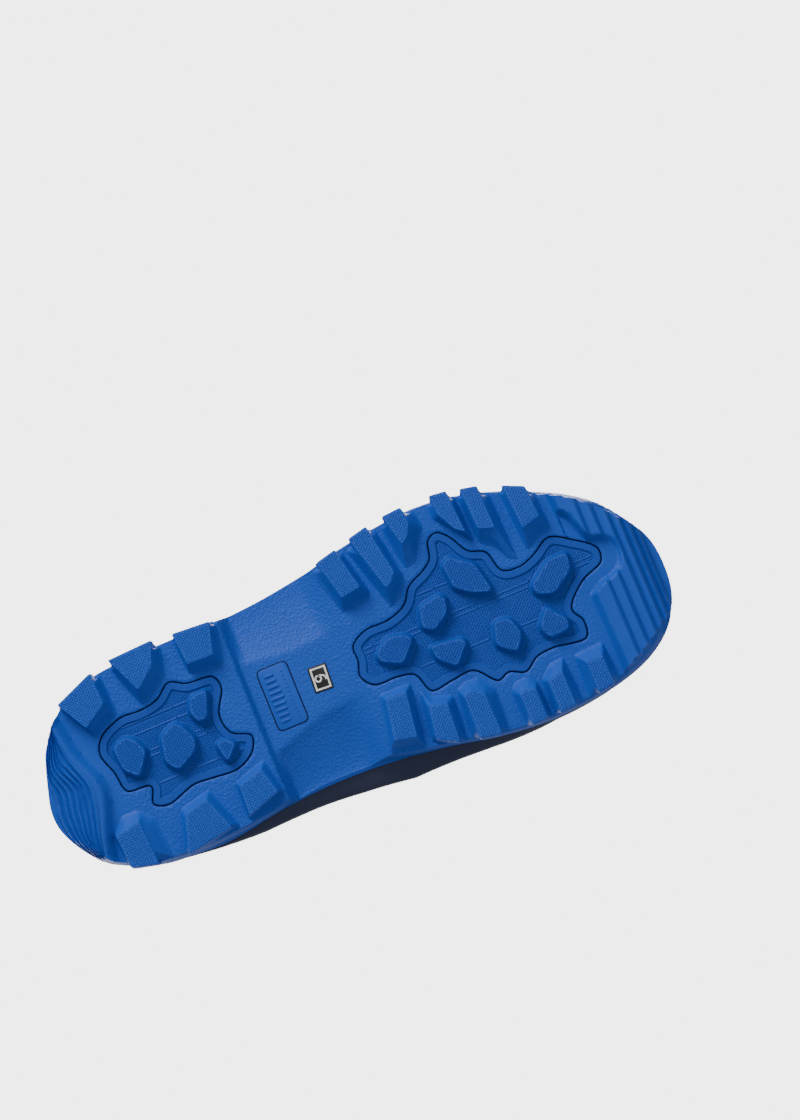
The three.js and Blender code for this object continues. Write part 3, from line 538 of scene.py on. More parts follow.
blue_rubber = moulded_rubber("blue_moulded_rubber", "#1a4eb4", "#1f54ba", 0.5)
blue_knurl = moulded_rubber("blue_knurled_rubber", "#1c50b2", "#2156b8", 0.55)
blue_insert = moulded_rubber("blue_insert_rubber", "#1545a2", "#1a4aa8", 0.5)
navy_rubber = moulded_rubber("navy_moulded_rubber", "#2f3650", "#343b56", 0.55, grain_mm=0.9,
                             grain_depth=0.12)
# Near-black for the seam gaps round the tread inserts and the badge: painted shade, standing for the dark of
# the narrow gaps.
seam_shade_black = moulded_rubber("seam_painted_shade_black", "#070a14", "#0b0e1a", 0.7)

# Ink for the size label: screen-printed, flat and slightly glossy.
label_black = finish("black_print_rubber", "#0d0e10", "#121316", 0.45)[0]
label_white = finish("white_screen_ink", "#e9e9e6", "#f2f2ef", 0.5)[0]


RAND_LINE_PITCH = 1.15


# Calendered rubber sheet with pressed contour lines: drawn a little coarser than real so that they
# show, and wavering as on a wrinkled map.
def contour_rubber():
    material, tree, shader, place = finish("black_ribbed_rubber", "#0f1013", "#151619", 0.45,
                                           Specular_IOR_Level=0.35)
    lay = add(tree, "ShaderNodeUVMap", uv_map="lay").outputs["UV"]
    waver = add(tree, "ShaderNodeTexNoise", {"Vector": place, "Scale": 1 / (26 * MM), "Detail": 1.0})
    high = add(tree, "ShaderNodeSeparateXYZ", {"Vector": lay}).outputs["Y"]
    shifted = add(tree, "ShaderNodeMath", {0: waver.outputs["Fac"], 1: 10.0, 2: high},
                  operation="MULTIPLY_ADD")
    turns = add(tree, "ShaderNodeMath", {0: shifted.outputs["Value"], 1: 2 * math.pi / RAND_LINE_PITCH},
                operation="MULTIPLY")
    wave = add(tree, "ShaderNodeMath", {0: turns.outputs["Value"]}, operation="SINE")
    level = add(tree, "ShaderNodeMapRange", {"Value": wave.outputs["Value"], "From Min": -1.0})
    emboss(tree, shader, level.outputs["Result"], 0.14)
    return material


black_rand = contour_rubber()


# Hand-laid natural rubber sheet under a thin lacquer: satin, with long soft streaks in its shine.
def lacquered_rubber(name, colour, tone, roughness):
    material, tree, shader, place = finish(name, colour, tone, roughness, Coat_Weight=0.25,
                                           Coat_Roughness=0.22)
    stretch = add(tree, "ShaderNodeMapping", {"Vector": place, "Scale": (1.0, 1.0, 0.35)})
    streaks = add(tree, "ShaderNodeTexNoise", {"Vector": stretch.outputs["Vector"],
                                               "Scale": 1 / (9 * MM), "Detail": 3.0})
    gloss = add(tree, "ShaderNodeMapRange", {"Value": streaks.outputs["Fac"],
                                             "To Min": roughness - 0.08, "To Max": roughness + 0.1})
    tree.links.new(gloss.outputs["Result"], shader.inputs["Roughness"])
    emboss(tree, shader, streaks.outputs["Fac"], 0.22)
    return material


olive_rubber = lacquered_rubber("olive_lacquered_rubber", "#323326", "#38392b", 0.36)
olive_binding = lacquered_rubber("olive_binding_rubber", "#292a20", "#2f3024", 0.42)


# Knitted polyester bonded to 2 mm foam: loops about 1.2 mm apart, soft sheen at grazing angles.
def knitted(name, colour, tone, pitch):
    material, tree, shader, place = finish(name, colour, tone, 0.95, ior=1.5, Sheen_Weight=0.35,
                                           Sheen_Roughness=0.5)
    loops = add(tree, "ShaderNodeTexVoronoi", {"Vector": place, "Scale": 1 / (pitch * MM),
                                               "Randomness": 0.35}, feature="F1")
    emboss(tree, shader, loops.outputs["Distance"], 0.35)
    return material


lining_knit = knitted("charcoal_knit_lining", "#2a2d31", "#34373c", 1.2)
bed_cloth = knitted("charcoal_footbed_cloth", "#2d3136", "#383c42", 1.6)

# Moulded EVA foam: dull, finely porous.
bed_foam, foam_tree, foam_shader, foam_place = finish("grey_eva_foam", "#3a3e45", "#43474e", 0.9)
pores = add(foam_tree, "ShaderNodeTexNoise", {"Vector": foam_place, "Scale": 1 / (0.7 * MM),
                                              "Detail": 4.0})
emboss(foam_tree, foam_shader, pores.outputs["Fac"], 0.08)

# Rolled spring steel strip: cool grey, brushed along its length.
shank_steel, steel_tree, steel_shader, steel_place = finish("rolled_spring_steel", "#a9adb1", "#b9bcc0",
                                                            0.35, ior=1.5, Metallic=1.0)
rolled = add(steel_tree, "ShaderNodeMapping", {"Vector": steel_place, "Scale": (40.0, 1.0, 1.0)})
lines = add(steel_tree, "ShaderNodeTexNoise", {"Vector": rolled.outputs["Vector"],
                                               "Scale": 1 / (20 * MM), "Detail": 3.0})
emboss(steel_tree, steel_shader, lines.outputs["Fac"], 0.02)

# Pressed cellulose board: buff, with loose fibres about 2 mm long.
fibre_board, board_tree, board_shader, board_place = finish("pressed_fibre_board", "#b49f78", "#c3b08b",
                                                            0.9)
fibres = add(board_tree, "ShaderNodeTexNoise", {"Vector": board_place, "Scale": 1 / (2 * MM),
                                                "Detail": 5.0, "Distortion": 1.5})
emboss(board_tree, board_shader, fibres.outputs["Fac"], 0.08)


# ---- Knurling: small pyramids set on given points, by geometry nodes --------------------------
def stud_tree():
    """Geometry nodes that set one small pyramid on every point."""
    tree = bpy.data.node_groups.new("knurl_studs", "GeometryNodeTree")
    outside = tree.interface
    outside.new_socket("Geometry", in_out="INPUT", socket_type="NodeSocketGeometry")
    outside.new_socket("Stud radius", in_out="INPUT", socket_type="NodeSocketFloat")
    outside.new_socket("Stud height", in_out="INPUT", socket_type="NodeSocketFloat")
    outside.new_socket("Finish", in_out="INPUT", socket_type="NodeSocketMaterial")
    outside.new_socket("Geometry", in_out="OUTPUT", socket_type="NodeSocketGeometry")
    given = add(tree, "NodeGroupInput").outputs
    tip = add(tree, "ShaderNodeMath", {0: given["Stud radius"], 1: 0.3}, operation="MULTIPLY")
    stud = add(tree, "GeometryNodeMeshCone", {
        "Vertices": 4, "Radius Top": tip.outputs["Value"], "Radius Bottom": given["Stud radius"],
        "Depth": given["Stud height"]})
    spread = add(tree, "GeometryNodeInstanceOnPoints", {
        "Points": given["Geometry"], "Instance": stud.outputs["Mesh"],
        "Rotation": (math.pi, 0.0, 0.0)})
    real = add(tree, "GeometryNodeRealizeInstances", {"Geometry": spread.outputs["Instances"]})
    painted = add(tree, "GeometryNodeSetMaterial", {"Geometry": real.outputs["Geometry"],
                                                    "Material": given["Finish"]})
    add(tree, "NodeGroupOutput", {"Geometry": painted.outputs["Geometry"]})
    return tree


knurl = stud_tree()
# The real pitch is about 0.85 mm; it is drawn at 1.05 mm so that each stud shows.
KNURL_PITCH = 1.05
KNURL_HEIGHT = 0.24


def knurl_points(outline, height, margin, clear=()):
    """Stud places, on a lattice turned by 45 degrees, inside an outline and off its edge."""
    step = KNURL_PITCH / math.sqrt(2)
    low, high = outline.min(axis=0), outline.max(axis=0)
    i, j = np.meshgrid(np.arange(math.floor(low[0] / step), math.ceil(high[0] / step) + 1),
                       np.arange(math.floor(low[1] / step), math.ceil(high[1] / step) + 1))
    places = np.column_stack((i.ravel(), j.ravel()))[((i + j) % 2 == 0).ravel()] * step
    places = places[inside(places, outline)]
    places = places[distance(places, outline) > margin]
    for other, room in clear:
        places = places[~inside(places, other)]
        places = places[distance(places, other) > room]
    return np.column_stack((places, np.full(len(places), height)))


def knurl_piece(name, places, material):
    """The studs on all the places of one piece, made by the geometry nodes and kept as a mesh."""
    mesh = bpy.data.meshes.new(name + "_places")
    mesh.from_pydata((np.vstack(places) * MM).tolist(), [], [])
    holder = bpy.data.objects.new(name + "_places", mesh)
    bpy.context.scene.collection.objects.link(holder)
    grow = holder.modifiers.new("knurl", "NODES")
    grow.node_group = knurl
    sizes = {"Stud radius": KNURL_PITCH / math.sqrt(2) * 0.94 * MM, "Stud height": KNURL_HEIGHT * MM,
             "Finish": material}
    for item in knurl.interface.items_tree:
        if item.in_out == "INPUT" and item.name in sizes:
            grow[item.identifier] = sizes[item.name]
    seen = holder.evaluated_get(bpy.context.evaluated_depsgraph_get())
    studs = bpy.data.meshes.new_from_object(seen)
    studs.name = name
    made = bpy.data.objects.new(name, studs)
    bpy.context.scene.collection.objects.link(made)
    bpy.data.objects.remove(holder)
    return made


# ---- Lugs and pods ----------------------------------------------------------------------------
FLANK_RISE = 8.8  # how far the outer face of a lug climbs the sole's side


def round_polygon(points, radius):
    """A polygon in frame mm with every corner cut to a small arc."""
    points = to_xy(points)
    result = []
    for i in range(len(points)):
        before, here, after = points[i - 1], points[i], points[(i + 1) % len(points)]
        a, b = before - here, after - here
        la, lb = np.linalg.norm(a), np.linalg.norm(b)
        cut = min(radius, la * 0.4, lb * 0.4)
        start, end = here + a / la * cut, here + b / lb * cut
        for t in (0, 0.33, 0.67, 1):
            result.append((1 - t) ** 2 * start + 2 * t * (1 - t) * here + t * t * end)
    return np.array(result)


def reach(outline, middle, angles):
    """Distance from a middle to an outline in some directions."""
    result = np.zeros(len(angles))
    a, b = outline - middle, np.roll(outline, -1, axis=0) - middle
    for k, angle in enumerate(angles):
        d = np.array((math.cos(angle), math.sin(angle)))
        n = np.array((-d[1], d[0]))
        sa, sb = a @ n, b @ n
        hit = (sa * sb <= 0) & (np.abs(sa - sb) > 1e-12)
        share = sa[hit] / (sa[hit] - sb[hit])
        far = (a[hit] + share[:, None] * (b[hit] - a[hit])) @ d
        result[k] = far[far > 0].max() if (far > 0).any() else 0.1
    return result


def add_block(body, face, foot, face_z, foot_z, sunk, slots, grain=0.0, flank=None):
    """A drafted block with rounded edges, from its face down into the sole."""
    middle = face.mean(axis=0)
    angles = np.concatenate([np.arctan2(*(line - middle).T[::-1]) for line in (face, foot)])
    angles = np.unique(np.round(np.sort(np.concatenate((angles, np.linspace(-3.1, 3.1, 24)))), 4))
    angles = angles[np.concatenate(([True], np.diff(angles) > 0.004))]
    top = reach(face, middle, angles)
    root = np.maximum(reach(foot, middle, angles), top + 0.5)
    flare = np.full(len(angles), 0.9)
    if flank is not None:
        side = reach(flank, middle, angles)
        flare = np.clip(side - 0.6 - root, -0.2, 0.9)
    way = np.column_stack((np.cos(angles), np.sin(angles)))
    rise = foot_z - face_z
    rings = [(top - 0.6, face_z), (top - 0.22, face_z + 0.06), (top + 0.02, face_z + 0.38)]
    rings += [(mix(top, root, s), face_z + rise * s) for s in (0.35, 0.65, 0.9)]
    rings += [(root + flare * 0.4, foot_z - 0.12), (root + flare, foot_z + 0.25)]
    if flank is None:
        rings.append((root + flare, foot_z + sunk))
    else:
        for share in (0.35, 0.7, 1.0):
            far = np.minimum(root + flare, mix(root + flare, side, share) - 0.9 * share)
            rings.append((far, foot_z + sunk * share))
    points = np.vstack([np.column_stack((middle + way * far[:, None], np.full(len(angles), z)))
                        for far, z in rings])
    count = len(angles)
    faces = [f[::-1] for f in strips(len(rings), count)]
    marks = [slots[1]] * len(faces)
    faces.append(list(range(count))[::-1])
    faces.append([(len(rings) - 1) * count + i for i in range(count)])
    marks += [slots[0], slots[1]]
    body.add(points, faces, marks, grain)


# ---- The blue sole ----------------------------------------------------------------------------
forefoot_seam = ArcCurve(to_xy(FOREFOOT_INSERT)).at(np.linspace(0, 1, 300, endpoint=False))
heel_seam = ArcCurve(to_xy(HEEL_INSERT)).at(np.linspace(0, 1, 200, endpoint=False))
toe_channel = round_curve(TOE_CHANNEL, closed=False, steps=8)
heel_front = round_curve(HEEL_BUMPER_EDGE, closed=False, steps=12)

# Toe bumper: where the crest of each rib lies, and how high its flat is.
TOE_CRESTS = (250.5, 256.0, 261.5, 267.0, 271.2, 274.6, 277.6)
TOE_HEIGHTS = (1.5, 2.9, 4.7, 7.0, 9.8, 13.0, 16.4)
RIB_WALL = 1.8  # width of the slope between two flats
RIB_DIP = 0.75  # how far each flat falls before the next crest
HEEL_DIP = 0.95
HEEL_WAVE = 0.55  # how far the ribs of the heel wander, in rib widths
HEEL_HEIGHTS = (1.4, 2.4, 3.8, 5.4, 7.2, 9.2, 11.4, 13.8)
HEEL_BULGE, TOE_BULGE = 2.2, 2.2  # how far the bumpers stand out of the outline


def toe_stairs(along):
    """Height of the ribbed toe bumper."""
    height = np.full(len(along), TOE_HEIGHTS[0])
    for i in range(1, len(TOE_CRESTS)):
        crest = TOE_CRESTS[i]
        # Each flat dips a little, so that its crest stands proud.
        start = TOE_CRESTS[i - 1] + RIB_WALL
        height = height - RIB_DIP * smooth(along, start, crest - 0.3)
        step = TOE_HEIGHTS[i] - TOE_HEIGHTS[i - 1] + RIB_DIP
        height = height + step * ramp(along, ((crest - 0.2, 0), (crest + 0.25, 0.12),
                                              (crest + RIB_WALL - 0.3, 0.94), (crest + RIB_WALL, 1)))
    return height


def heel_share(along, across):
    """0 on the front edge of the heel bumper, 1 on the sole's edge behind it."""
    front = np.interp(across, heel_front[:, 1], heel_front[:, 0])
    back = np.interp(across, heel_edge_line[:, 1], heel_edge_line[:, 0])
    return (front - along) / np.maximum(front - back, 1.0)


def heel_wave(share, across):
    """How far the ribs of the heel bumper wander, in rib widths."""
    wave = np.sin(across / 5.6 + 0.5) + 0.4 * np.sin(across / 3.3 + 2.0)
    return HEEL_WAVE * wave * smooth(share, 0.1, 0.45) * (1 - smooth(share, 0.75, 1.0))


def heel_stairs(along, across):
    """Height of the ribbed heel bumper."""
    share = heel_share(along, across)
    ribs = len(HEEL_HEIGHTS)
    place = share * ribs + heel_wave(share, across)
    height = np.full(len(along), HEEL_HEIGHTS[0])
    for i in range(1, ribs):
        height = height - HEEL_DIP * smooth(place, i - 0.62, i - 0.04)
        step = HEEL_HEIGHTS[i] - HEEL_HEIGHTS[i - 1] + HEEL_DIP
        height = height + step * ramp(place, ((i - 0.04, 0), (i + 0.04, 0.12), (i + 0.3, 0.94),
                                              (i + 0.36, 1)))
    return height


# Where the waist's plateau ends on the outer and the inner side, and how deep the scoop beside it is.
WAIST_OUTER = ((90, -22), (100, -21.2), (110, -19.4), (120, -18.8), (132, -19.5), (142, -22))
WAIST_INNER = ((90, 20), (94.6, 19.3), (110, 14.3), (120, 11), (130, 10), (142, 8))
SCOOP_OUTER, SCOOP_INNER = 4.4, 5.6


def sole_height(points):
    """Height of the sole's underside over plan positions in frame mm."""
    along, across = to_plan(points[:, 0], points[:, 1])
    height = np.full(len(points), SOLE_Z)
    # The waist: a plateau between two scooped flanks, behind the heel's breast.
    waist = smooth(along, 92.6, 95.4) * (1 - smooth(along, 131, 149))
    height += (WAIST_Z - SOLE_Z) * waist
    outer, inner = ramp(along, WAIST_OUTER), ramp(along, WAIST_INNER)
    outer_edge = np.interp(along, outer_line[:, 0], outer_line[:, 1])
    inner_edge = np.interp(along, inner_line[:, 0], inner_line[:, 1])
    scoop = smooth(along, 94, 98) * (1 - smooth(along, 128, 143))
    for share, depth in (((outer - across) / (outer - outer_edge), SCOOP_OUTER),
                         ((across - inner) / (inner_edge - inner), SCOOP_INNER)):
        share = np.clip(share, 0, 1)
        height += depth * scoop * (1 - (1 - share) ** 1.8) * smooth(share, -0.02, 0.1)
    # The heel bumper.
    behind = heel_share(along, across)
    front = np.interp(across, heel_front[:, 1], heel_front[:, 0])
    band = smooth(front + 5.0 - along, 0, 4.6) * (along < 30)
    heel = np.where(behind > 0, heel_stairs(along, across), mix(SOLE_Z, HEEL_HEIGHTS[0], band))
    height = np.where(along < 30, heel, height)
    # The toe bumper, round the channel in front of the forefoot insert.
    ahead = along - (246.6 + 0.02 * across)
    room = distance(np.column_stack((along, across)), toe_channel, closed=False)
    channel = inside(np.column_stack((along, across)), toe_channel)
    blend = np.where(channel, 0.0, np.minimum(smooth(ahead, 0, 3.9), smooth(room, 0, 3.0)))
    stairs = toe_stairs(along)
    low = np.minimum(stairs, SOLE_Z)
    toe = np.where(stairs < SOLE_Z, mix(SOLE_Z, low, blend), stairs)
    return np.where(along > 245, toe, height)


# The toe's upright side is terraced; each ledge at the heel moves its side in by a little.
TERRACE_TOP, TERRACE_PITCH, TERRACES = 22.6, 2.9, 5
TERRACE_DEPTH = 1.15
TERRACE_FALL = 0.85  # slope of the terraces at their ends
HEEL_LEDGES = (8.5, 11.5, 14.5, 17.5)
HEEL_LEDGE = 0.2
# Where the end of each toe rib stands out of the sole's outline, and by how much.
TOOTH_CORNERS = (243.0, 247.9, 253.4, 258.8, 264.1, 268.2, 271.6, 274.6)
TOOTH = 0.9
# How far the side lies inside the outline at some heights, and what the waist adds to that.
SIDE_DRAFT = ((1.4, 1.7), (6.5, 1.1), (8.5, 0.4), (9.5, 0.2), (16, 0))
WAIST_DRAFT = ((6.5, 1), (16, 0.25), (24, 0))
WAIST_INSET_INNER, WAIST_INSET_OUTER = 5, 2


def tooth(along):
    """Depth of the notch behind the end of a toe rib."""
    for corner, after in zip(TOOTH_CORNERS, TOOTH_CORNERS[1:]):
        if corner <= along < after:
            run = (along - corner) / (after - corner)
            return TOOTH * min(run / 0.2, 1.0) * (1 - max(run - 0.2, 0) / 0.8)
    return 0.0


def toe_weight(u):
    """1 round the toe, fading to 0 where the terraces end."""
    return float(1 - smooth(from_toe(u), 0.095, 0.17))


def heel_weight(u):
    """1 round the back of the heel, fading to 0 along its sides."""
    return float(1 - smooth(0.5 - from_toe(u), 0.05, 0.12))


def heel_bulge(u):
    """How far the heel bumper stands out at a station."""
    return HEEL_BULGE * float(1 - smooth(0.5 - from_toe(u), 0.035, 0.066))


def side_inset(u, heights, along, across):
    """How far the blue sole's side lies inside its edge, down its height."""
    heights = np.asarray(heights, float)
    waist = WAIST_INSET_INNER if across > 0 else WAIST_INSET_OUTER
    waist = waist * smooth(along, 84, 112) * (1 - smooth(along, 126, 156))
    inset = ramp(heights, SIDE_DRAFT) + waist * ramp(heights, WAIST_DRAFT)
    toe, heel, low = toe_weight(u), heel_weight(u), heights.min()
    inset = inset * (1 - 0.6 * heel)
    if along > TOOTH_CORNERS[0] - 5:
        inset = inset + tooth(along) * smooth(abs(across), 24, 33) * (1 - smooth(heights - low, 1.5, 4))
    if toe > 0:
        fall = TERRACE_FALL * (math.hypot(max(abs(across - CAP_MIDDLE) - 23, 0), 3) - 3)
        level = heights + fall + 0.4 * math.sin(across / 6)
        down = np.clip((TERRACE_TOP - level) / TERRACE_PITCH, 0, TERRACES)
        phase = down - np.floor(down)
        cut = np.where(phase < 0.25, phase / 0.25, 1 - (phase - 0.25) / 0.75)
        depth = TERRACE_DEPTH * cut * (down > 0) + 0.25 * np.floor(down)
        toe = toe * (1 - smooth(abs(across - CAP_MIDDLE), 26, 36))
        inset = inset + toe * depth * smooth(heights - low, 0.8, 2.6)
        bulge = TOE_BULGE * (1 - smooth(from_toe(u), 0.03, 0.12))
        inset = inset - bulge * ramp(heights, ((6, 0), (16, 1), (30, 1), (44, 0)))
    if heel > 0:
        level = heights + 1.2 * math.sin(across / 5.2)
        for ledge in HEEL_LEDGES:
            inset = inset + heel * HEEL_LEDGE * (1 - smooth(level, ledge - 0.7, ledge))
        inset = inset - heel_bulge(u) * ramp(heights, ((0, 0.4), (5, 1), (14.5, 1), (18.5, 0)))
    return inset


def sole_stations():
    """Stations round the sole, closer where the blue edge climbs the toe cap's flanks."""
    stations, u = [], 0.0
    while u < 1 - 2e-4:
        stations.append(u)
        step = 1 / 1000 if toe_weight(u) > 0 else 1 / 560
        while step > 1 / 3600 and abs(sole_top(u + step) - sole_top(u)) > 1.1:
            step *= 0.6
        u += step
    return stations


sole_rim = sole_stations()
rim_points, rim_out = edge(np.array(sole_rim))
rim_plan = np.column_stack(to_plan(rim_points[:, 0], rim_points[:, 1]))
split = int(np.argmin(np.abs(np.array(sole_rim) - 0.5)))
outer_line = rim_plan[:split][np.argsort(rim_plan[:split, 0])]
inner_line = rim_plan[split:][np.argsort(rim_plan[split:, 0])]
behind_heel = rim_plan[rim_plan[:, 0] < 40]
heel_edge_line = behind_heel[np.argsort(behind_heel[:, 1])] - (HEEL_BULGE, 0)

# Outline of the grained panel on the toe cap: half width across, height.
CAP_PANEL = round_curve(((0, 44), (9, 43.8), (13.4, 42), (15.6, 38.5), (18.5, 34), (23, 29.8), (28, 26),
                         (32, 22.4), (60, 20)), closed=False, steps=8)
SIDE_ROWS = 26
TERRACE_ROWS = 16
CAP_ROWS = 20


def rim_section(k):
    """Bottom, side, rim and inner wall of the blue sole at one station."""
    u = sole_rim[k]
    along, across = rim_plan[k]
    top = sole_top(u)
    low = 6.0
    for _ in range(3):
        inset = float(side_inset(u, [low], along, across)[0])
        low = float(sole_height((rim_points[k] - rim_out[k] * inset)[None])[0])
    plate = max(PLATE_TOP, low + 1)
    panel_foot = min(max(TERRACE_TOP + 1.2, plate), top - 0.9)
    heights = np.concatenate((np.linspace(low, plate, SIDE_ROWS)[:-1],
                              np.linspace(plate, panel_foot, TERRACE_ROWS)[:-1],
                              np.linspace(panel_foot, top - 0.9, CAP_ROWS)))
    heights = np.minimum(heights, top - 0.9)
    inset = side_inset(u, heights, along, across)
    away = abs(across - CAP_MIDDLE)
    cap = np.column_stack((np.full(len(heights), away), heights))
    within = (heights < np.interp(away, CAP_PANEL[:, 0], CAP_PANEL[:, 1])) * (toe_weight(u) > 0)
    panel = smooth(distance(cap, CAP_PANEL, closed=False), 0, 0.8) * smooth(heights, 22.6, 23.6) * within
    offset = SIDE_WALL - inset - 0.7 * panel
    outer = on_skin(u, heights, offset)
    rim = on_skin(u, [top - 0.25, top, top, top - 0.3], [SIDE_WALL - 0.25, SIDE_WALL - 0.9, 3.1, 2.5])
    under = on_skin(u, np.linspace(top - 0.6, PLATE_TOP - 0.5, 8), 2.4)
    grain = np.concatenate((np.where(heights < 15, 0.5, 0) * (toe_weight(u) < 0.3) + panel,
                            np.zeros(12)))
    return np.vstack((outer, rim, under)), grain


# Where the underside needs a closer mesh: stretches along and across, each with its step.
CLOSE_PATCHES = (((92.2, 99, 0.6), (-44, 44, 1.5)), ((246, 252.5, 0.6), (-44, 48, 1.3)),
                 ((249, 263, 0.6), (-1, 12, 0.6)), ((252, 268, 0.8), (-24, 10, 0.8)))
SEAM_ROLL = 0.3  # how far the sole's surface rolls in at the seam of an insert
POCKET_ROOF_Z = 8.4
INSERT_BACK_Z = 8.05


def underside_lines(rim):
    """Lines that the underside's mesh follows: the rim, the seams and the crests of the ribs."""
    loops = [(rim, True), (forefoot_seam, True), (heel_seam, True)]
    loops += [(spread_outline(seam, 0.5), True) for seam in (forefoot_seam, heel_seam)]
    lines = []
    for crest in TOE_CRESTS:
        for at in (crest - 4.2, crest - 2.0, crest - 0.2, crest + 0.5, crest + 1.1, crest + RIB_WALL):
            lines.append([(at, t) for t in np.arange(-44, 47, 1.5)])
    ribs = len(HEEL_HEIGHTS)
    for share in np.arange(ribs * 5) / (ribs * 5):
        line = []
        for t in np.arange(-38, 42, 1.2):
            front = np.interp(t, heel_front[:, 1], heel_front[:, 0])
            back = np.interp(t, heel_edge_line[:, 1], heel_edge_line[:, 0])
            line.append((mix(front, back, share - heel_wave(share, t) / ribs), t))
        lines.append(line)
    for line in map(to_xy, lines):
        line = line[inside(line, rim) & (distance(line, rim) > 0.35)]
        if len(line) > 2:
            loops.append((line, False))
    return loops


def underside_scatter(rim):
    """Loose points of the underside: an even lattice, closer where the height changes fast."""
    low, high = rim.min(axis=0), rim.max(axis=0)
    x, y = np.meshgrid(np.arange(low[0], high[0], 1.7), np.arange(low[1], high[1], 1.7))
    x[::2] += 0.85
    patches = [np.column_stack((x.ravel(), y.ravel()))]
    for stretch, width in CLOSE_PATCHES:
        along, across = np.meshgrid(np.arange(*stretch), np.arange(*width))
        patches.append(to_xy(np.column_stack((along.ravel(), across.ravel()))))
    loose = np.vstack(patches)
    loose = loose[inside(loose, rim)]
    loose = loose[distance(loose, rim) > 0.6]
    for seam in (forefoot_seam, heel_seam):
        loose = loose[~inside(loose, seam)]
    return loose


def add_underside(body, side):
    """The underside of the sole, from the lowest points of its side inwards."""
    rim = side[:, :2]

    def keep(middles):
        return inside(middles, rim) & ~inside(middles, forefoot_seam) & ~inside(middles, heel_seam)

    flat, triangles = triangulate(underside_lines(rim), underside_scatter(rim), keep)
    heights = sole_height(flat)
    for seam in (forefoot_seam, heel_seam):
        near = distance(flat, seam)
        heights = heights + SEAM_ROLL * (1 - smooth(near, 0.0, 0.45)) * (near < 0.6)
    # The rim keeps the heights of the side it joins.
    for i in np.where(distance(flat, rim) < 2e-3)[0]:
        away = np.linalg.norm(rim - flat[i], axis=1)
        a, b = np.argsort(away)[:2]
        heights[i] = (side[a, 2] * away[b] + side[b, 2] * away[a]) / (away[a] + away[b])
    along = to_plan(flat[:, 0], flat[:, 1])[0]
    grain = smooth(along, 20, 28) * (1 - smooth(along, 243, 247))
    body.add(np.column_stack((flat, heights)), [list(t)[::-1] for t in triangles], 0, grain)


def add_pockets(body):
    """The pockets that the tread inserts lie in, near-black: painted shade in the seam gaps."""
    for seam in (forefoot_seam, heel_seam):
        mouth = np.column_stack((seam, sole_height(seam) + SEAM_ROLL))
        roof = np.column_stack((seam, np.full(len(seam), POCKET_ROOF_Z)))
        body.add(np.vstack((mouth, roof)), [f[::-1] for f in strips(2, len(seam))], 1)
        flat, triangles = fill(seam)
        body.add(np.column_stack((flat, np.full(len(flat), POCKET_ROOF_Z))),
                 [list(t)[::-1] for t in triangles], 1)


def make_outsole():
    """The blue sole with its lugs, and the knurl on the lugs' faces."""
    body = Body()
    sections = [rim_section(k) for k in range(len(sole_rim))]
    count = len(sections[0][0])
    body.add(np.vstack([points for points, _ in sections]),
             strips(len(sections), count, closed_columns=False, closed_rows=True), 0,
             np.concatenate([grain for _, grain in sections]))
    add_underside(body, np.array([points[0] for points, _ in sections]))
    add_pockets(body)
    # The flat top that the midsole is bonded to.
    flat, triangles = fill(np.array([points[-1, :2] for points, _ in sections]))
    body.add(np.column_stack((flat, np.full(len(flat), PLATE_TOP - 0.5))), [list(t) for t in triangles], 0)
    places = []
    for face, foot in LUGS:
        outline = round_polygon(face, 0.9)
        add_block(body, outline, round_polygon(foot, 1.3), KNURL_HEIGHT, SOLE_Z, FLANK_RISE, (2, 0),
                  grain=0.6, flank=rim_points)
        places.append(knurl_points(outline, KNURL_HEIGHT, 0.85))
    piece = body.piece("outsole_moulding", (blue_rubber, seam_shade_black, blue_knurl))
    studs = knurl_piece("lug_face_knurl", places, blue_knurl)
    return piece, studs


outsole, lug_knurl = make_outsole()


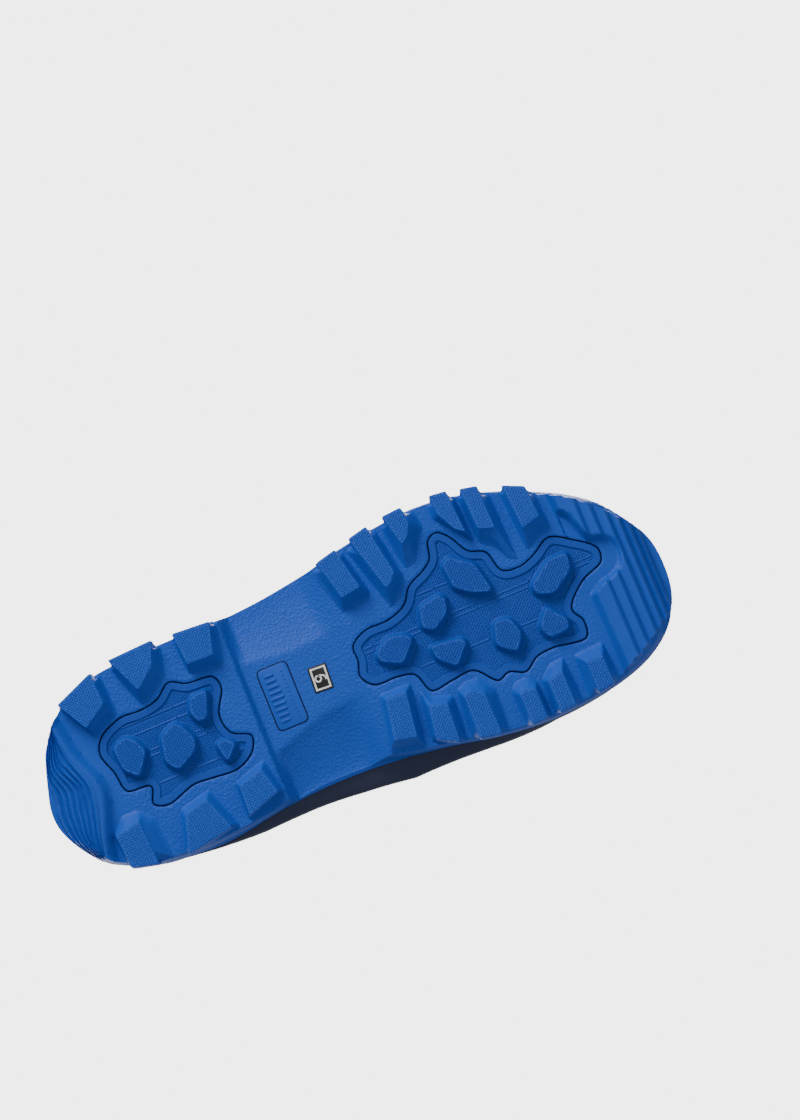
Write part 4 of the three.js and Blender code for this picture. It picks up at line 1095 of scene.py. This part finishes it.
# ---- Tread inserts ----------------------------------------------------------------------------
def make_insert(name, seam, pods, lines_along, lines_across):
    """A tread insert with its pods and joints, and the knurl on its floor and pods."""
    body = Body()
    rim = inset_loop(seam, SEAM)
    loops = [rim] + [inset_loop(seam, SEAM + depth) for depth in (0.35, INSERT_BORDER, INSERT_BORDER + 0.45)]
    low, high = rim.min(axis=0), rim.max(axis=0)
    x, y = np.meshgrid(np.arange(low[0], high[0], 2.5), np.arange(low[1], high[1], 2.5))
    loose = np.column_stack((x.ravel(), y.ravel()))
    loose = loose[inside(loose, rim)]
    loose = loose[distance(loose, seam) > SEAM + INSERT_BORDER + 1.0]
    flat, triangles = triangulate([(loop, True) for loop in loops], loose, lambda m: inside(m, rim))
    depth = distance(flat, seam) - SEAM
    heights = ramp(depth, ((0, SOLE_Z + 0.35), (0.32, SOLE_Z + 0.02), (INSERT_BORDER, SOLE_Z + 0.02),
                           (INSERT_BORDER + 0.42, INSERT_FLOOR_Z), (90, INSERT_FLOOR_Z)))
    body.add(np.column_stack((flat, heights)), [list(t)[::-1] for t in triangles], 0,
             grain=0.35 * (depth < INSERT_BORDER))
    # The insert's side and back are near-black: painted shade in the seam gap round it.
    low_ring, high_ring = (np.column_stack((rim, np.full(len(rim), z)))
                           for z in (SOLE_Z + 0.35, INSERT_BACK_Z))
    body.add(np.vstack((low_ring, high_ring)), [f[::-1] for f in strips(2, len(rim))], 1)
    flat, triangles = fill(rim)
    body.add(np.column_stack((flat, np.full(len(flat), INSERT_BACK_Z))), [list(t) for t in triangles], 1)
    floor = inset_loop(seam, SEAM + INSERT_BORDER + 0.6)
    outlines = [round_polygon(pod, 2.4) for pod in pods]
    places = []
    clear = [(spread_outline(outline, POD_DRAFT), 0.5) for outline in outlines]
    # Thin raised joints between the knurled blocks of the floor.
    joints = [[(s, at) for s in np.arange(0, 290, 0.7)] for at in lines_along]
    joints += [[(at, t) for t in np.arange(-60, 60, 0.7)] for at in lines_across]
    keep_off = []
    for joint in joints:
        line = to_xy(joint)
        good = inside(line, floor)
        for outline, _ in clear:
            good &= ~inside(line, outline)
        for run in np.split(np.arange(len(line)), np.where(np.diff(good.astype(int)) != 0)[0] + 1):
            if len(run) > 4 and good[run[0]]:
                a, b = line[run[0]], line[run[-1]]
                keep_off.append((a, b))
                add_joint(body, a, b)
    for outline in outlines:
        add_block(body, outline, spread_outline(outline, POD_DRAFT), POD_FACE_Z + KNURL_HEIGHT,
                  INSERT_FLOOR_Z, 0.5, (2, 0))
        places.append(knurl_points(outline, POD_FACE_Z + KNURL_HEIGHT, 0.8))
    ground = knurl_points(floor, INSERT_FLOOR_Z, 0.4, clear)
    for a, b in keep_off:
        ground = ground[distance(ground[:, :2], np.array((a, b)), closed=False) > 0.95]
    places.append(ground)
    piece = body.piece(name, (blue_insert, seam_shade_black, blue_knurl))
    return piece, knurl_piece(name + "_knurl", places, blue_insert)


def add_joint(body, a, b, half=0.42, tall=0.3):
    """A thin raised rib on an insert's floor, from a to b."""
    way = (b - a) / np.linalg.norm(b - a)
    side = np.array((-way[1], way[0]))
    section = ((-half - 0.2, 0.05), (-half, -tall + 0.1), (-half + 0.15, -tall), (half - 0.15, -tall),
               (half, -tall + 0.1), (half + 0.2, 0.05))
    rings = [np.array([(*(end + side * s), INSERT_FLOOR_Z + z) for s, z in section]) for end in (a, b)]
    count = len(section)
    faces = strips(2, count)
    faces += [list(range(count))[::-1], [count + i for i in range(count)]]
    body.add(np.vstack(rings), faces, 0)


forefoot_insert, forefoot_knurl = make_insert(
    "forefoot_insert", forefoot_seam, FOREFOOT_PODS, (-20.5, -7.4, -5.2, 9.3),
    (152, 176, 186, 200, 225, 237))
heel_insert, heel_knurl = make_insert(
    "heel_insert", heel_seam, HEEL_PODS, (-16, -11, -2.2, 0.2, 12.5), (61.5, 71.5))


# ---- Badge and size label in the waist --------------------------------------------------------
BADGE_ALONG, BADGE_ACROSS = (100.5, 114.0), (-16.5, 11.4)
LABEL_ALONG, LABEL_ACROSS = (121.2, 129.8), (-9.2, 2.4)
LABEL_TURN = math.radians(3)
LABEL_MARGIN, FRAME_WIDTH = 0.8, 0.75
INK_LOW, INK_HIGH = WAIST_Z - 0.36, WAIST_Z - 0.24


def turned(points, middle, angle):
    """Points turned by an angle about a middle."""
    spin = np.array(((math.cos(angle), -math.sin(angle)), (math.sin(angle), math.cos(angle))))
    return (np.asarray(points) - middle) @ spin.T + middle


def rounded_plate(body, along, across, radius, low_z, high_z, turn=0.0):
    """Plate with rounded corners and edges, its seen face at low_z."""
    corners = [(along[0], across[0]), (along[1], across[0]), (along[1], across[1]), (along[0], across[1])]
    outline = round_polygon(corners, radius)
    middle = outline.mean(axis=0)
    outline = turned(outline, middle, turn)
    rings = []
    for shrink, z in ((0.35, low_z), (0.1, low_z + 0.08), (0.0, low_z + 0.3), (0.0, high_z)):
        reached = np.linalg.norm(outline - middle, axis=1)
        ring = middle + (outline - middle) * (1 - shrink / reached)[:, None]
        rings.append(np.column_stack((ring, np.full(len(ring), z))))
    count = len(outline)
    faces = strips(len(rings), count)
    faces += [list(range(count))[::-1], [(len(rings) - 1) * count + i for i in range(count)]]
    if winding(outline) < 0:
        faces = [f[::-1] for f in faces]
    body.add(np.vstack(rings), faces, 0)


def make_badge():
    """Rounded badge with a plain pattern of raised bars; the dark line round it is a piece of its own,
    painted shade.
    """
    body = Body()
    rounded_plate(body, BADGE_ALONG, BADGE_ACROSS, 2.2, WAIST_Z - 0.25, WAIST_Z + 1.2)
    middle = sum(BADGE_ACROSS) / 2
    for i in range(9):
        across = middle + (i - 4) * 2.6
        reach_along = 3.6 - 0.28 * abs(i - 4)
        rounded_plate(body, (104.6 - reach_along * 0.8, 104.6 + reach_along),
                      (across - 0.6, across + 0.6), 0.5, WAIST_Z - 0.62, WAIST_Z)
    for i in range(12):
        across = middle + (i - 5.5) * 1.9
        rounded_plate(body, (110.4, 111.2), (across - 0.55, across + 0.55), 0.3, WAIST_Z - 0.5, WAIST_Z)
    return body.piece("badge_moulding", (blue_rubber,))


def make_badge_seam():
    """The dark line round the badge: near-black painted shade in the narrow gap round it."""
    body = Body()
    rounded_plate(body, (BADGE_ALONG[0] - 0.6, BADGE_ALONG[1] + 0.6),
                  (BADGE_ACROSS[0] - 0.6, BADGE_ACROSS[1] + 0.6), 2.7, WAIST_Z - 0.06, WAIST_Z + 0.9)
    return body.piece("badge_seam", (seam_shade_black,))


def make_label():
    """The black plate of the size label."""
    body = Body()
    rounded_plate(body, LABEL_ALONG, LABEL_ACROSS, 0.6, WAIST_Z - 0.3, WAIST_Z + 1.0, LABEL_TURN)
    return body.piece("size_label_print", (label_black,))


def ink_stroke(body, line, width, closed):
    """A stroke of ink along a line on the label; the line's x runs across the foot, its y to the toe."""
    line = np.asarray(line, float)
    ahead = np.roll(line, -1, 0) - np.roll(line, 1, 0) if closed else np.gradient(line, axis=0)
    ahead /= np.linalg.norm(ahead, axis=1)[:, None]
    side = np.column_stack((-ahead[:, 1], ahead[:, 0])) * width / 2
    middle = to_xy([(sum(LABEL_ALONG) / 2, sum(LABEL_ACROSS) / 2)])[0]
    left, right = (turned((line + way) * (1, -1) + middle, middle, LABEL_TURN) for way in (side, -side))
    rings = [[(*b, INK_LOW), (*b, INK_HIGH), (*a, INK_HIGH), (*a, INK_LOW)] for a, b in zip(left, right)]
    faces = strips(len(rings), 4, closed_rows=closed)
    if not closed:
        last = (len(rings) - 1) * 4
        faces += [[3, 2, 1, 0], [last, last + 1, last + 2, last + 3]]
    body.add(np.array(rings).reshape(-1, 3), faces, 0)


def make_label_ink():
    """White frame and size numeral, a thin layer on the label."""
    body = Body()
    middle = to_xy([(sum(LABEL_ALONG) / 2, sum(LABEL_ACROSS) / 2)])[0]
    half = np.array((LABEL_ACROSS[1] - LABEL_ACROSS[0], LABEL_ALONG[1] - LABEL_ALONG[0])) / 2
    outer = half - LABEL_MARGIN
    inner = outer - FRAME_WIDTH
    corners = np.array(((-1, -1), (1, -1), (1, 1), (-1, 1)))
    rings = [np.column_stack((turned(corners * size + middle, middle, LABEL_TURN), np.full(4, z)))
             for size, z in ((outer, INK_LOW), (outer, INK_HIGH), (inner, INK_HIGH), (inner, INK_LOW))]
    body.add(np.vstack(rings), strips(4, 4, closed_rows=True), 0)
    # The numeral: its bowl is a ring and its tail an arc. Its top points to the toe.
    turn = np.linspace(0, 2 * math.pi, 28, endpoint=False)
    bowl = np.column_stack((1.3 * np.cos(turn), -1.0 + 1.25 * np.sin(turn)))
    tail = round_curve(((-1.3, -0.9), (-1.25, 0.4), (-0.7, 1.7), (0.2, 2.3), (1.2, 2.2)), closed=False,
                       steps=6)
    ink_stroke(body, bowl, 0.7, True)
    ink_stroke(body, tail, 0.7, False)
    return body.piece("size_label_ink", (label_white,))


badge, badge_seam = make_badge(), make_badge_seam()
label, label_ink = make_label(), make_label_ink()


# ---- Midsole band -----------------------------------------------------------------------------
def groove_height(u):
    """Height of the groove line round the navy band."""
    top = band_top(u)
    return mix(FLOOR_Z + 0.6, 34.5, smooth(top, BAND_TOP + 1, 40.5)) if top >= BAND_TOP else FLOOR_Z


def midsole_section(u):
    """Outside, rim and inside of the navy band at one station."""
    top, blue, line = band_top(u), sole_top(u), groove_height(u)
    heights = np.sort(np.concatenate((np.linspace(PLATE_TOP + GAP, top - 0.8, 26),
                                      line + np.array((-1.0, -0.5, -0.15, 0.15, 0.5, 1.0)),
                                      blue + np.array((0.3, 0.45, 0.6, 0.8)))))
    heights = np.clip(heights, PLATE_TOP + GAP, top - 0.8)
    hidden = 1 - smooth(heights, blue + 0.35, blue + 0.75)
    groove = np.exp(-((heights - line) / 0.42) ** 2) * 0.9
    # Above the groove the band leans in a little; below it it swells.
    swell = 0.35 * np.sin(np.clip((heights - PLATE_TOP) / max(line - PLATE_TOP, 1), 0, 1) * math.pi)
    offset = mix(4.55 - groove + swell, 2.05, hidden)
    outer = on_skin(u, heights, offset)
    shown = 0.0 if blue + 0.6 > top else 1.0
    face = 2.05 + 2.5 * shown
    rim = on_skin(u, [top - 0.25, top, top, top - 0.3], [face - 0.2, face - 0.8, face * 0.5 + 1.1, 1.9])
    inner = on_skin(u, [FLOOR_Z + 0.5], [1.8])
    return np.vstack((outer, rim, inner))


def make_midsole():
    """The navy side band and the flat floor inside it."""
    body = Body()
    sections = [midsole_section(u) for u in sole_rim]
    body.add(np.vstack(sections),
             strips(len(sections), len(sections[0]), closed_columns=False, closed_rows=True), 0, grain=0.25)
    for column, order in ((0, -1), (-1, 1)):
        ring = np.array([s[column] for s in sections])
        flat, triangles = fill(ring[:, :2])
        body.add(np.column_stack((flat, np.full(len(flat), ring[:, 2].mean()))),
                 [list(t)[::order] for t in triangles], 0)
    return body.piece("midsole_band", (navy_rubber,))


midsole = make_midsole()


# ---- Rand, heel cup, upper, lining and binding ------------------------------------------------
def shell_section(u, low, top, outer, inner, rows, shape=None):
    """Closed section of a layer on the skin: up its outside, over a round rim and down its inside."""
    thick = outer - inner
    heights = np.linspace(low, top - 0.5 * thick, rows)
    offsets = np.full(rows, outer) if shape is None else outer + shape(u, heights)
    up = on_skin(u, heights, offsets)
    rim = on_skin(u, [top - 0.2 * thick, top, top, top - 0.2 * thick],
                  [outer - 0.04 * thick, outer - 0.3 * thick, inner + 0.3 * thick, inner + 0.04 * thick])
    down = on_skin(u, np.linspace(top - 0.6 * thick, low, max(rows // 2, 6)), inner)
    return np.vstack((up, rim, down))


CUP_END = 0.2 - 0.5 * math.sin(4 * math.pi * 0.2) / (4 * math.pi)  # station where the heel cup ends


def rand_shape(u, heights):
    """A pressed crease runs round the toe a little under the rand's edge, and one near its foot."""
    line = rand_top(u) - 10.0
    depth = 0.55 * np.exp(-((heights - line) / 0.6) ** 2)
    low_line = 0.3 * np.exp(-((heights - (band_top(u) + 1.6)) / 0.5) ** 2)
    return -depth - low_line


def make_rand():
    """The black rubber round the toe and along the sides."""
    body = Body()
    wall_sweep(body, np.linspace(CUP_END + 0.004, 1 - CUP_END - 0.004, 420),
               lambda u: shell_section(u, FLOOR_Z + 1, rand_top(u), RAND_OUT, GAP, 46, rand_shape),
               closed=False)
    return body.piece("toe_rand_sheet", (black_rand,))


def cup_shape(u, heights):
    """The crease under the heel cup's upper edge."""
    line = heel_cup_top(u) - 5.0
    return -0.5 * np.exp(-((heights - line) / 0.5) ** 2)


def make_heel_cup():
    """The navy cup round the back of the heel."""
    body = Body()
    wall_sweep(body, np.linspace(-CUP_END, CUP_END, 220),
               lambda u: shell_section(u, FLOOR_Z + 1, heel_cup_top(u), RAND_OUT, GAP, 40, cup_shape),
               closed=False, grain=lambda u, ring: np.full(len(ring), 0.5))
    return body.piece("heel_cup_moulding", (navy_rubber,))


def collar_z(u):
    """Height of the mouth's edge."""
    return float(profile(u % 1)[-1, 2])


def make_upper():
    """The olive rubber shell."""
    body = Body()
    stations = np.linspace(0, 1, 361)[:-1]

    def section(u):
        top = collar_z(u)
        heights = np.linspace(FLOOR_Z + 0.4, top, 60)
        return np.vstack((on_skin(u, heights, np.full(60, 0.0)),
                          on_skin(u, heights[::-2], np.full(30, -SHELL)),
                          on_skin(u, [FLOOR_Z + 0.4], [-SHELL])))
    wall_sweep(body, stations, section, closed=True)
    return body.piece("upper_shell_rubber", (olive_rubber,))


def make_lining():
    """The knitted lining inside the shell."""
    body = Body()
    stations = np.linspace(0, 1, 281)[:-1]

    def section(u):
        top = collar_z(u)
        heights = np.linspace(27.0, top, 44)
        return np.vstack((on_skin(u, heights, np.full(44, -LINING_OUT)),
                          on_skin(u, heights[::-1], np.full(44, -LINING_IN))))
    wall_sweep(body, stations, section, closed=True)
    return body.piece("knit_lining", (lining_knit,))


BINDING_DEPTH = 7.0


def binding_section(u):
    """Rubber edge binding: a rounded lip with two dark grooves below it."""
    points = meridian(u)[0]
    top, down = points[-1], points[-12] - points[-1]
    down /= np.linalg.norm(down)
    side = profile((u + 0.002) % 1)[-1] - profile((u - 0.002) % 1)[-1]
    out = np.cross(side / np.linalg.norm(side), -down)
    out /= np.linalg.norm(out)
    inner = -LINING_IN - 0.6
    lines = [(0.6, BINDING_DEPTH)]
    for fall in np.linspace(BINDING_DEPTH, 0.4, 22):
        groove = 0.6 * math.exp(-((fall - 5.2) / 0.32) ** 2) + 0.45 * math.exp(-((fall - 3.9) / 0.28) ** 2)
        round_foot = 0.8 * max(0.0, (fall - BINDING_DEPTH + 0.8) / 0.8) ** 2
        lines.append((1.75 - groove - round_foot, fall))
    middle = (1.75 + inner - 1.1) / 2
    half = (1.75 - inner + 1.1) / 2
    for turn in np.linspace(0.12, math.pi - 0.12, 16):
        lines.append((middle + half * math.cos(turn), 0.2 - 2.2 * math.sin(turn) ** 0.7))
    lines += [(inner - 1.1, fall) for fall in np.linspace(0.6, BINDING_DEPTH - 0.4, 8)]
    lines += [(inner - 0.6, BINDING_DEPTH), (inner, BINDING_DEPTH), (inner, -0.4), (0.5, -0.4)]
    return np.array([top + out * offset + down * fall for offset, fall in lines])


def make_binding():
    """The lip round the mouth."""
    body = Body()
    wall_sweep(body, np.linspace(0, 1, 361)[:-1], binding_section, closed=True)
    return body.piece("collar_binding_lip", (olive_binding,))


rand, heel_cup = make_rand(), make_heel_cup()
upper, lining, binding = make_upper(), make_lining(), make_binding()


# ---- Footbed ----------------------------------------------------------------------------------
BED_Z = 28.9
BED_EDGE = LINING_IN + GAP + 0.4


def make_footbed():
    """Cloth-faced foam bed: thick at its rim, hollowed under the heel, with a soft crown at the arch."""
    body = Body()
    stations = np.linspace(0, 1, 241)[:-1]
    levels = ((BED_Z, 0.3), (BED_Z, 0.0), (BED_Z + 4.5, 0.0), (BED_Z + 8.6, 0.4), (BED_Z + 9.4, 1.2),
              (BED_Z + 9.5, 2.4), (BED_Z + 9.2, 4.2))
    rings = []
    for height, inset in levels:
        rings.append(np.vstack([on_skin(u, [height], [-BED_EDGE - inset]) for u in stations]))
    rim = rings[-1]
    middle_y = np.clip(rim[:, 1], rim[:, 1].min() + 26, rim[:, 1].max() - 24)
    heart = np.column_stack((np.full(len(rim), rim[:, 0].mean()), middle_y))
    for share, sink in ((0.12, 0.4), (0.26, 0.9), (0.42, 1.5), (0.6, 1.9), (0.8, 2.1), (0.97, 2.15)):
        ring = rim.copy()
        ring[:, :2] = mix(rim[:, :2], heart, share)
        along = MID_ALONG - ring[:, 1]
        arch = 1.6 * np.exp(-((along - 118) / 22) ** 2) * smooth(ring[:, 0], 2, 24)
        ring[:, 2] = rim[:, 2] - sink + arch
        rings.append(ring)
    count = len(stations)
    faces = strips(len(rings), count)
    slots = [0] * (3 * count) + [1] * (len(faces) - 3 * count)
    last = (len(rings) - 1) * count
    seam = [[last + i, last + (i + 1) % count, last + count - 1 - (i + 1) % count, last + count - 1 - i]
            for i in range(count // 2 - 1)]
    faces += seam
    slots += [1] * len(seam)
    under = [[i, count - 1 - i, count - 2 - i, i + 1] for i in range(count // 2 - 1)]
    faces += under
    slots += [0] * len(under)
    body.add(np.vstack(rings), faces, slots)
    return body.piece("footbed_pad", (bed_foam, bed_cloth))


footbed = make_footbed()

# ---- What each piece is to the frame ----------------------------------------------------------
for piece, nodes, slot in (
        (outsole, ["outsole"], "outsole_rubber"), (lug_knurl, [], "outsole_rubber"),
        (forefoot_insert, ["forefoot_tread_insert"], "insert_rubber"), (forefoot_knurl, [], "insert_rubber"),
        (heel_insert, ["heel_tread_insert"], "insert_rubber"), (heel_knurl, [], "insert_rubber"),
        (badge, ["arch_badge"], "outsole_rubber"), (badge_seam, [], "outsole_rubber"),
        (label, ["size_label"], "label_print"), (label_ink, [], "label_print"),
        (midsole, ["midsole"], "band_rubber"), (rand, ["toe_rand"], "rand_rubber"),
        (heel_cup, ["heel_cup"], "band_rubber"), (upper, ["upper_shell"], "upper_rubber"),
        (lining, ["lining"], "lining_fabric"), (binding, ["collar_binding"], "upper_rubber"),
        (footbed, ["footbed", "footbed_cover"], "footbed_foam")):
    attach(piece, "root")
    if nodes:
        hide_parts(*nodes)

for node, material in (("shank", shank_steel), ("insole_board", fibre_board),
                       ("heel_counter", fibre_board), ("toe_puff", fibre_board)):
    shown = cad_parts[node]
    for hold in shown.material_slots:
        hold.material = material

# ---- Floor, lamps and camera ------------------------------------------------------------------
PALE = "#ededed"


def make_floor():
    """Pale floor under the clog, seen only from above, so that the sole can be looked at from below."""
    mesh = bpy.data.meshes.new("floor")
    mesh.from_pydata([(-6, -6, 0), (6, -6, 0), (6, 6, 0), (-6, 6, 0)], [], [(0, 1, 2, 3)])
    material = bpy.data.materials.new("pale_studio_paper")
    material.use_nodes = True
    tree = material.node_tree
    shader = tree.nodes["Principled BSDF"]
    shader.inputs["Base Color"].default_value = linear(PALE)
    shader.inputs["Roughness"].default_value = 0.9
    shader.inputs["Emission Color"].default_value = linear(PALE)
    shader.inputs["Emission Strength"].default_value = 4.2
    side = add(tree, "ShaderNodeNewGeometry").outputs["Backfacing"]
    gone = add(tree, "ShaderNodeBsdfTransparent").outputs["BSDF"]
    both = add(tree, "ShaderNodeMixShader", {0: side, 1: shader.outputs["BSDF"], 2: gone})
    tree.links.new(both.outputs["Shader"], tree.nodes["Material Output"].inputs["Surface"])
    mesh.materials.append(material)
    floor = bpy.data.objects.new("floor", mesh)
    bpy.context.scene.collection.objects.link(floor)
    floor.visible_shadow = floor.visible_diffuse = floor.visible_glossy = False


make_floor()

world = bpy.data.worlds.new("studio") if bpy.context.scene.world is None else bpy.context.scene.world
bpy.context.scene.world = world
world.use_nodes = True
# The backdrop is lit on its own, as in a studio, so it is brighter than the light it gives the clog.
BACKDROP_GLOW, STUDIO_GLOW = 4.4, 0.4
sky = world.node_tree.nodes["Background"]
sky.inputs["Color"].default_value = linear("#ffffff")
seen = add(world.node_tree, "ShaderNodeLightPath").outputs["Is Camera Ray"]
glow = add(world.node_tree, "ShaderNodeMapRange", {"Value": seen, "To Min": STUDIO_GLOW,
                                                   "To Max": BACKDROP_GLOW})
world.node_tree.links.new(glow.outputs["Result"], sky.inputs["Strength"])

# Camera: 1.29 m from the sole, looking up at it from the inner side, with the heel at the left.
LENS = 96.43
DISTANCE = 1293.1  # mm from the lens to the aimed point, along the middle of the view
AIM_RIGHT, AIM_DOWN = -0.01433, 0.03623  # slopes of the sight line to the aimed point
TURN, TILT = math.radians(22.46), math.radians(8)
right_of = {"x": (math.sin(TURN) * math.cos(TILT), math.cos(TURN) * math.cos(TILT), -math.sin(TILT)),
            "y": (-math.cos(TURN), math.sin(TURN), 0.0),
            "z": (math.sin(TURN) * math.sin(TILT), math.cos(TURN) * math.sin(TILT), math.cos(TILT))}
# Columns: where each frame axis points, seen from the camera (right, down, ahead).
axes = np.column_stack((right_of["x"], right_of["y"], right_of["z"]))
aim = np.array((-MID_ACROSS, -3.4, 0.0))
seen_at = np.array((AIM_RIGHT, AIM_DOWN, 1.0)) * DISTANCE
camera_place = (aim - axes.T @ seen_at) * MM
rows = [axes.T @ np.array(v) for v in ((1, 0, 0), (0, -1, 0), (0, 0, -1))]
camera_data = bpy.data.cameras.new("camera")
camera_data.sensor_fit = "VERTICAL"
camera_data.sensor_height = 36
camera_data.lens = LENS
camera_data.clip_end = 50
camera = bpy.data.objects.new("camera", camera_data)
bpy.context.scene.collection.objects.link(camera)
camera.matrix_world = Matrix([[rows[0][i], rows[1][i], rows[2][i], camera_place[i]] for i in range(3)]
                             + [[0, 0, 0, 1]])
bpy.context.scene.camera = camera


def soft_lamp(name, away, power, size):
    """Square soft lamp that looks at the clog; `away` is its place in metres."""
    data = bpy.data.lights.new(name, "AREA")
    data.energy, data.size = power, size
    lamp = bpy.data.objects.new(name, data)
    bpy.context.scene.collection.objects.link(lamp)
    lamp.location = away
    lamp.rotation_euler = (Vector((0, 0, 0.03)) - Vector(away)).to_track_quat("-Z", "Y").to_euler()
    lamp.visible_camera = False


# Two lamps for the sole, beside the camera, and two above for the upper.
sole_key = -rows[0] * 0.75 + rows[1] * 1.0 + rows[2] * 0.55
sole_fill = rows[0] * 0.8 + rows[1] * 0.2 + rows[2] * 1.2
soft_lamp("sole_key", sole_key, 19, 0.7)
soft_lamp("sole_fill", sole_fill, 3, 1.2)
soft_lamp("upper_key", (-0.75, -0.45, 1.1), 12, 0.6)
soft_lamp("upper_rim", (0.5, 0.9, 1.1), 9, 0.8)
